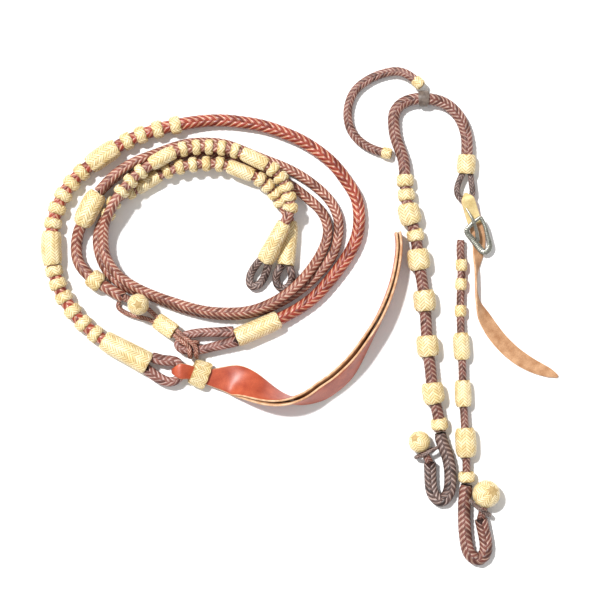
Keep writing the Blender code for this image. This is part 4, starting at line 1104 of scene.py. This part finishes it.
def oval_button(node, body, start, end, profile, columns, seed):
    """A woven oval sleeve; profile rows are share of the length, half width, half height."""
    route = straight(start, end)
    shares, widths, heights = (np.array(row) for row in zip(*profile))

    def reach(s):
        share = s / route.length
        return np.interp(share, shares, widths), np.interp(share, shares, heights)

    batch = Batch()
    cover(batch, route, 0.0, route.length, reach, columns, seed)
    return batch.make(node + "_weave", node, body, [RAWHIDE, BUTTON_CORE_PAINTED_SHADE])


keeper_start = np.array(KEEPER_START)
keeper_way = unit(np.array(KEEPER_END) - keeper_start)
keeper_wide = 2 * CONNECTOR_R + 0.0016 + KEEPER_WALL
keeper_high = CONNECTOR_R + 0.0014 + KEEPER_WALL
oval_button("connector_keeper", "keeper", keeper_start,
            keeper_start + keeper_way * KEEPER_LENGTH / MM,
            [(0, keeper_wide * 0.92, keeper_high * 0.9), (0.12, keeper_wide, keeper_high),
             (0.88, keeper_wide, keeper_high), (1, keeper_wide * 0.92, keeper_high * 0.9)],
            14, 96)
oval_button("popper_button", "popper", POPPER_BUTTON_START, POPPER_BUTTON_END, POPPER_BUTTON,
            18, 97)

# %% [markdown]
# ## The band on the crown
#
# One short sleeve on the crown is plain grey leather and not woven, so the closed barrel that
# lies under the other buttons is enough for it.

# %% Grey leather band on the crown
band = Batch()
band_reach = barrel_reach(CROWN_BAND_AT, CROWN_BAND[1], CROWN_BAND[0], 0.93)
half_band = CROWN_BAND[1] / 2
core(band, ROUTES["headstall"], CROWN_BAND_AT - half_band, CROWN_BAND_AT + half_band, band_reach,
     0.0, 0, 36, 0.0006)
band.make("crown_band_wrap", "crown_band", "headstall", [BAND_LEATHER])

# %% [markdown]
# ## Straps
#
# The popper is one strap folded round the end loop, so its two halves lie back to back with the
# grain side out.  The strap's section is a flat oval with soft corners, swept through listed
# stations that also give its width and roll, because the strap turns onto its edge and so shows
# its cut edges from above.  The billet of the buckle is made the same way, flesh side up.

# %% Strap sections and their sweep


def strap_line(points, step):
    """Sections along a strap's route: points are x, y, z, width and roll."""
    route = Route([point[:3] for point in points])
    knots = [route.along[i * Route.SAMPLES] for i in range(len(points) - 1)] + [route.length]
    s = np.linspace(0, route.length, round(route.length / step) + 1)
    middle, _, side, up = route.frames(s)
    roll = np.radians(np.interp(s, knots, [point[4] for point in points]))[:, None]
    width = np.interp(s, knots, [point[3] for point in points])
    across = side * np.cos(roll) + up * np.sin(roll)
    face = up * np.cos(roll) - side * np.sin(roll)
    return middle, across, face, width


def joined(*runs):
    return [np.concatenate(parts) for parts in zip(*runs)]


def turned(run):
    """The same sections from the other end."""
    return [part[::-1] for part in run]


def fold_round(pivot, forward, across, reach, widths, steps, spread):
    """Sections of a strap's fold round a bar: widths are (angle, width), and the leather spreads
    by so much more where it lies on top of the bar."""
    angles, sizes = zip(*widths)
    shares = np.linspace(0, 1, steps)
    turns = np.interp(shares, np.linspace(0, 1, len(angles)), angles)
    width = np.interp(shares, np.linspace(0, 1, len(angles)), sizes)
    turns = np.radians(turns)[:, None]
    width = width + spread * np.clip(np.sin(turns[:, 0]) * 1.6 - 0.6, 0, 1)
    face = forward * np.cos(turns) + np.array([0.0, 0.0, 1.0]) * np.sin(turns)
    return pivot + face * reach, np.tile(across, (steps, 1)), face, width


def smoothed(run, rounds):
    """Averages neighbouring sections, so that a fold runs into its strap without a kink."""
    parts = [np.array(part, float) for part in run]
    for _ in range(rounds):
        for part in parts:
            part[1:-1] = (part[:-2] + 2 * part[1:-1] + part[2:]) / 4
    middle, across, face, width = parts
    return middle, unit(across), unit(face), width


AROUND = 24                     # corners of a strap's section
POPPER_SPREAD = 0.0048          # how much wider a fold gets on top of its bar
BILLET_SPREAD = 0.0030


def sweep_strap(batch, run, thickness, pale_until=0.0):
    """Sweeps a soft-cornered section: slot 0 on the face side, 1 behind, 2 on edges, 3 pale."""
    middle, across, face, width = run
    count = len(middle)

    def spot(u, v):
        i = np.rint(v * (count - 1)).astype(int)
        spin = u * math.tau
        side = np.sign(np.cos(spin)) * np.abs(np.cos(spin)) ** 0.35
        rise = np.sign(np.sin(spin)) * np.abs(np.sin(spin)) ** 0.6
        return (middle[i] + across[i] * (side * width[i] / 2)[:, None]
                + face[i] * (rise * thickness / 2)[:, None])

    def paint(u, v):
        if abs(math.sin(u * math.tau)) < 0.42:
            return 2
        if math.sin(u * math.tau) < 0:
            return 1
        return 3 if v < pale_until else 0

    batch.put(*shell(AROUND, count - 1, spot, paint))


# %% The popper
popper_stations = []
for x, y, share, roll in POPPER_ROUTE:
    width = POPPER_WIDTH * share
    turn = math.radians(roll)
    lift = width / 2 * abs(math.sin(turn)) + POPPER_LEATHER * 1.2 * abs(math.cos(turn)) + 0.0006
    popper_stations.append((x, y, lift / MM, width, roll))
for i, height in enumerate(POPPER_START_HEIGHTS):
    popper_stations[i] = (*popper_stations[i][:2], height, *popper_stations[i][3:])
middle, across, face, width = strap_line(popper_stations, 0.003)
gape = 0.0009 * np.sin(math.pi * np.linspace(0, 1, len(middle))) ** 2
spread = POPPER_LEATHER / 2 + 0.0003 + gape
upper = (middle + face * spread[:, None], across, face, width)
lower = (middle - face * spread[:, None], across, -face, width)
popper_reach = END_LOOP_R * LOOP_TIP_SHARE + 2 * FOLD_CLEAR + POPPER_LEATHER / 2
popper_fold = fold_round(place(POPPER_PIVOT), np.array([1.0, 0.0, 0.0]),
                         np.array([0.0, -1.0, 0.0]), popper_reach, FOLD_WIDTHS, 30, POPPER_SPREAD)
popper_run = smoothed(joined(turned(upper), popper_fold, lower), 3)
popper = Batch()
sweep_strap(popper, popper_run, POPPER_LEATHER)
popper.make("popper_strap", "popper_leather", "popper", [GRAIN_SIDE, FLESH_SIDE, CUT_EDGE])

# %% [markdown]
# ## The billet
#
# The billet holds the buckle.  One end folds round the crown's loop and is tucked under, and there
# the leather is still pale; the long tail runs through the frame and lies out on the table.

# %% The billet
BILLET_WAY = (5.0, -14.4, 0.0)  # direction of the strap where it leaves its fold
billet_points = [(x, y, z, BILLET_WIDTH * share, roll) for x, y, z, share, roll in BILLET_ROUTE]
tail = strap_line(billet_points, 0.003)
billet_way = unit(np.array(BILLET_WAY))
billet_across = np.cross(billet_way, (0.0, 0.0, 1.0))
billet_reach = CROWN_LOOP_R + FOLD_CLEAR + BILLET_LEATHER / 2
billet_fold = fold_round(place(CROWN_LOOP_PIVOT), billet_way, billet_across, billet_reach,
                         BILLET_FOLD, 26, BILLET_SPREAD)
under = (place(BILLET_UNDER)[None], billet_fold[1][:1], np.array([[0.0, 0.0, -1.0]]),
         billet_fold[3][:1])
billet_run = smoothed(joined(under, billet_fold, tail), 2)
billet = Batch()
folded = 1 + len(billet_fold[0]) + 4
sweep_strap(billet, billet_run, BILLET_LEATHER, pale_until=folded / len(billet_run[0]))
billet.make("billet", "billet_strap", "right_cheek",
            [FLESH_SIDE, GRAIN_SIDE, CUT_EDGE, PALE_FLESH])

# %% [markdown]
# ## Buckle
#
# The frame is a bent flat band of cast metal.  Its border is cut with small beads, so the section
# of the swept ring grows and shrinks a little, and the tarnish stays in the hollows.

# %% Buckle frame and tongue
ring = Route(BUCKLE_ROUTE + BUCKLE_ROUTE[:1])
BEADS = 46
BAND_WIDTH = 0.0046
BAND_THICK = 0.0024
TARNISH_WAVES = 2600            # radians to the metre, so a wave is 2.4 mm


def ring_spot(u, v):
    s = v * ring.length
    bead = 1 + 0.08 * np.cos(v * BEADS * math.tau)
    wide = BAND_WIDTH / 2 * bead * (1.15 + 0.3 * np.sin(v * math.tau + 4.4))
    return wrap(ring, s, u * math.tau, wide, BAND_THICK / 2 * bead)


corners, faces = shell(16, BEADS * 6, ring_spot)
frame_batch = Batch()
worn_cut = 0.5 + 0.5 * np.sin(corners[:, 0] * TARNISH_WAVES) * np.sin(corners[:, 1] * TARNISH_WAVES)
frame_batch.put(corners, faces, 0, worn_cut * 0.8)
frame_batch.make("buckle_frame_cast", "buckle_frame", "right_cheek", [NICKEL])
tongue_route = Route(TONGUE_ROUTE, level=False)
tongue = Batch()


def tongue_reach(s):
    share = s / tongue_route.length
    size = TONGUE_R * (1.5 - 0.9 * share)
    return size, TONGUE_R * (0.9 - 0.2 * share)


core(tongue, tongue_route, 0.0, tongue_route.length, tongue_reach, 0.0, 0, 14, 0.0012, 0.25)
tongue.make("buckle_tongue_cast", "buckle_tongue", "tongue", [NICKEL])

# %% [markdown]
# ## Table and light
#
# A white table and a bright even sky keep the background clean.  One sun from the upper left gives
# the short crisp shadows under the cords.

# %% Table, sun and sky
TABLE_SIZE = 6                  # metres from the middle to an edge
SUN_DIRECTION = (0.42, -0.40, -1.0)
SUN_STRENGTH, SUN_ANGLE, SKY_STRENGTH = 4.0, 5, 0.55
shape = bmesh.new()
bmesh.ops.create_grid(shape, x_segments=1, y_segments=1, size=TABLE_SIZE)
table_mesh = bpy.data.meshes.new("table")
shape.to_mesh(table_mesh)
shape.free()
table = bpy.data.objects.new("table", table_mesh)
table_material, _, table_shader = start_material("white_table", 0.9, specular=0.1)
table_shader.inputs["Base Color"].default_value = colour("#fbfbfb")
table_mesh.materials.append(table_material)
bpy.context.scene.collection.objects.link(table)

sun = bpy.data.lights.new("sun", "SUN")
sun.energy = SUN_STRENGTH
sun.angle = math.radians(SUN_ANGLE)
sun_object = bpy.data.objects.new("sun", sun)
sun_object.rotation_euler = Vector(SUN_DIRECTION).to_track_quat("-Z", "Y").to_euler()
bpy.context.scene.collection.objects.link(sun_object)

world = bpy.context.scene.world or bpy.data.worlds.new("sky")
bpy.context.scene.world = world
world.use_nodes = True
sky = world.node_tree.nodes["Background"]
sky.inputs["Color"].default_value = (1.0, 1.0, 1.0, 1.0)
sky.inputs["Strength"].default_value = SKY_STRENGTH
bpy.context.scene.view_settings.view_transform = "Standard"
print("sun", SUN_STRENGTH, "sky", SKY_STRENGTH)
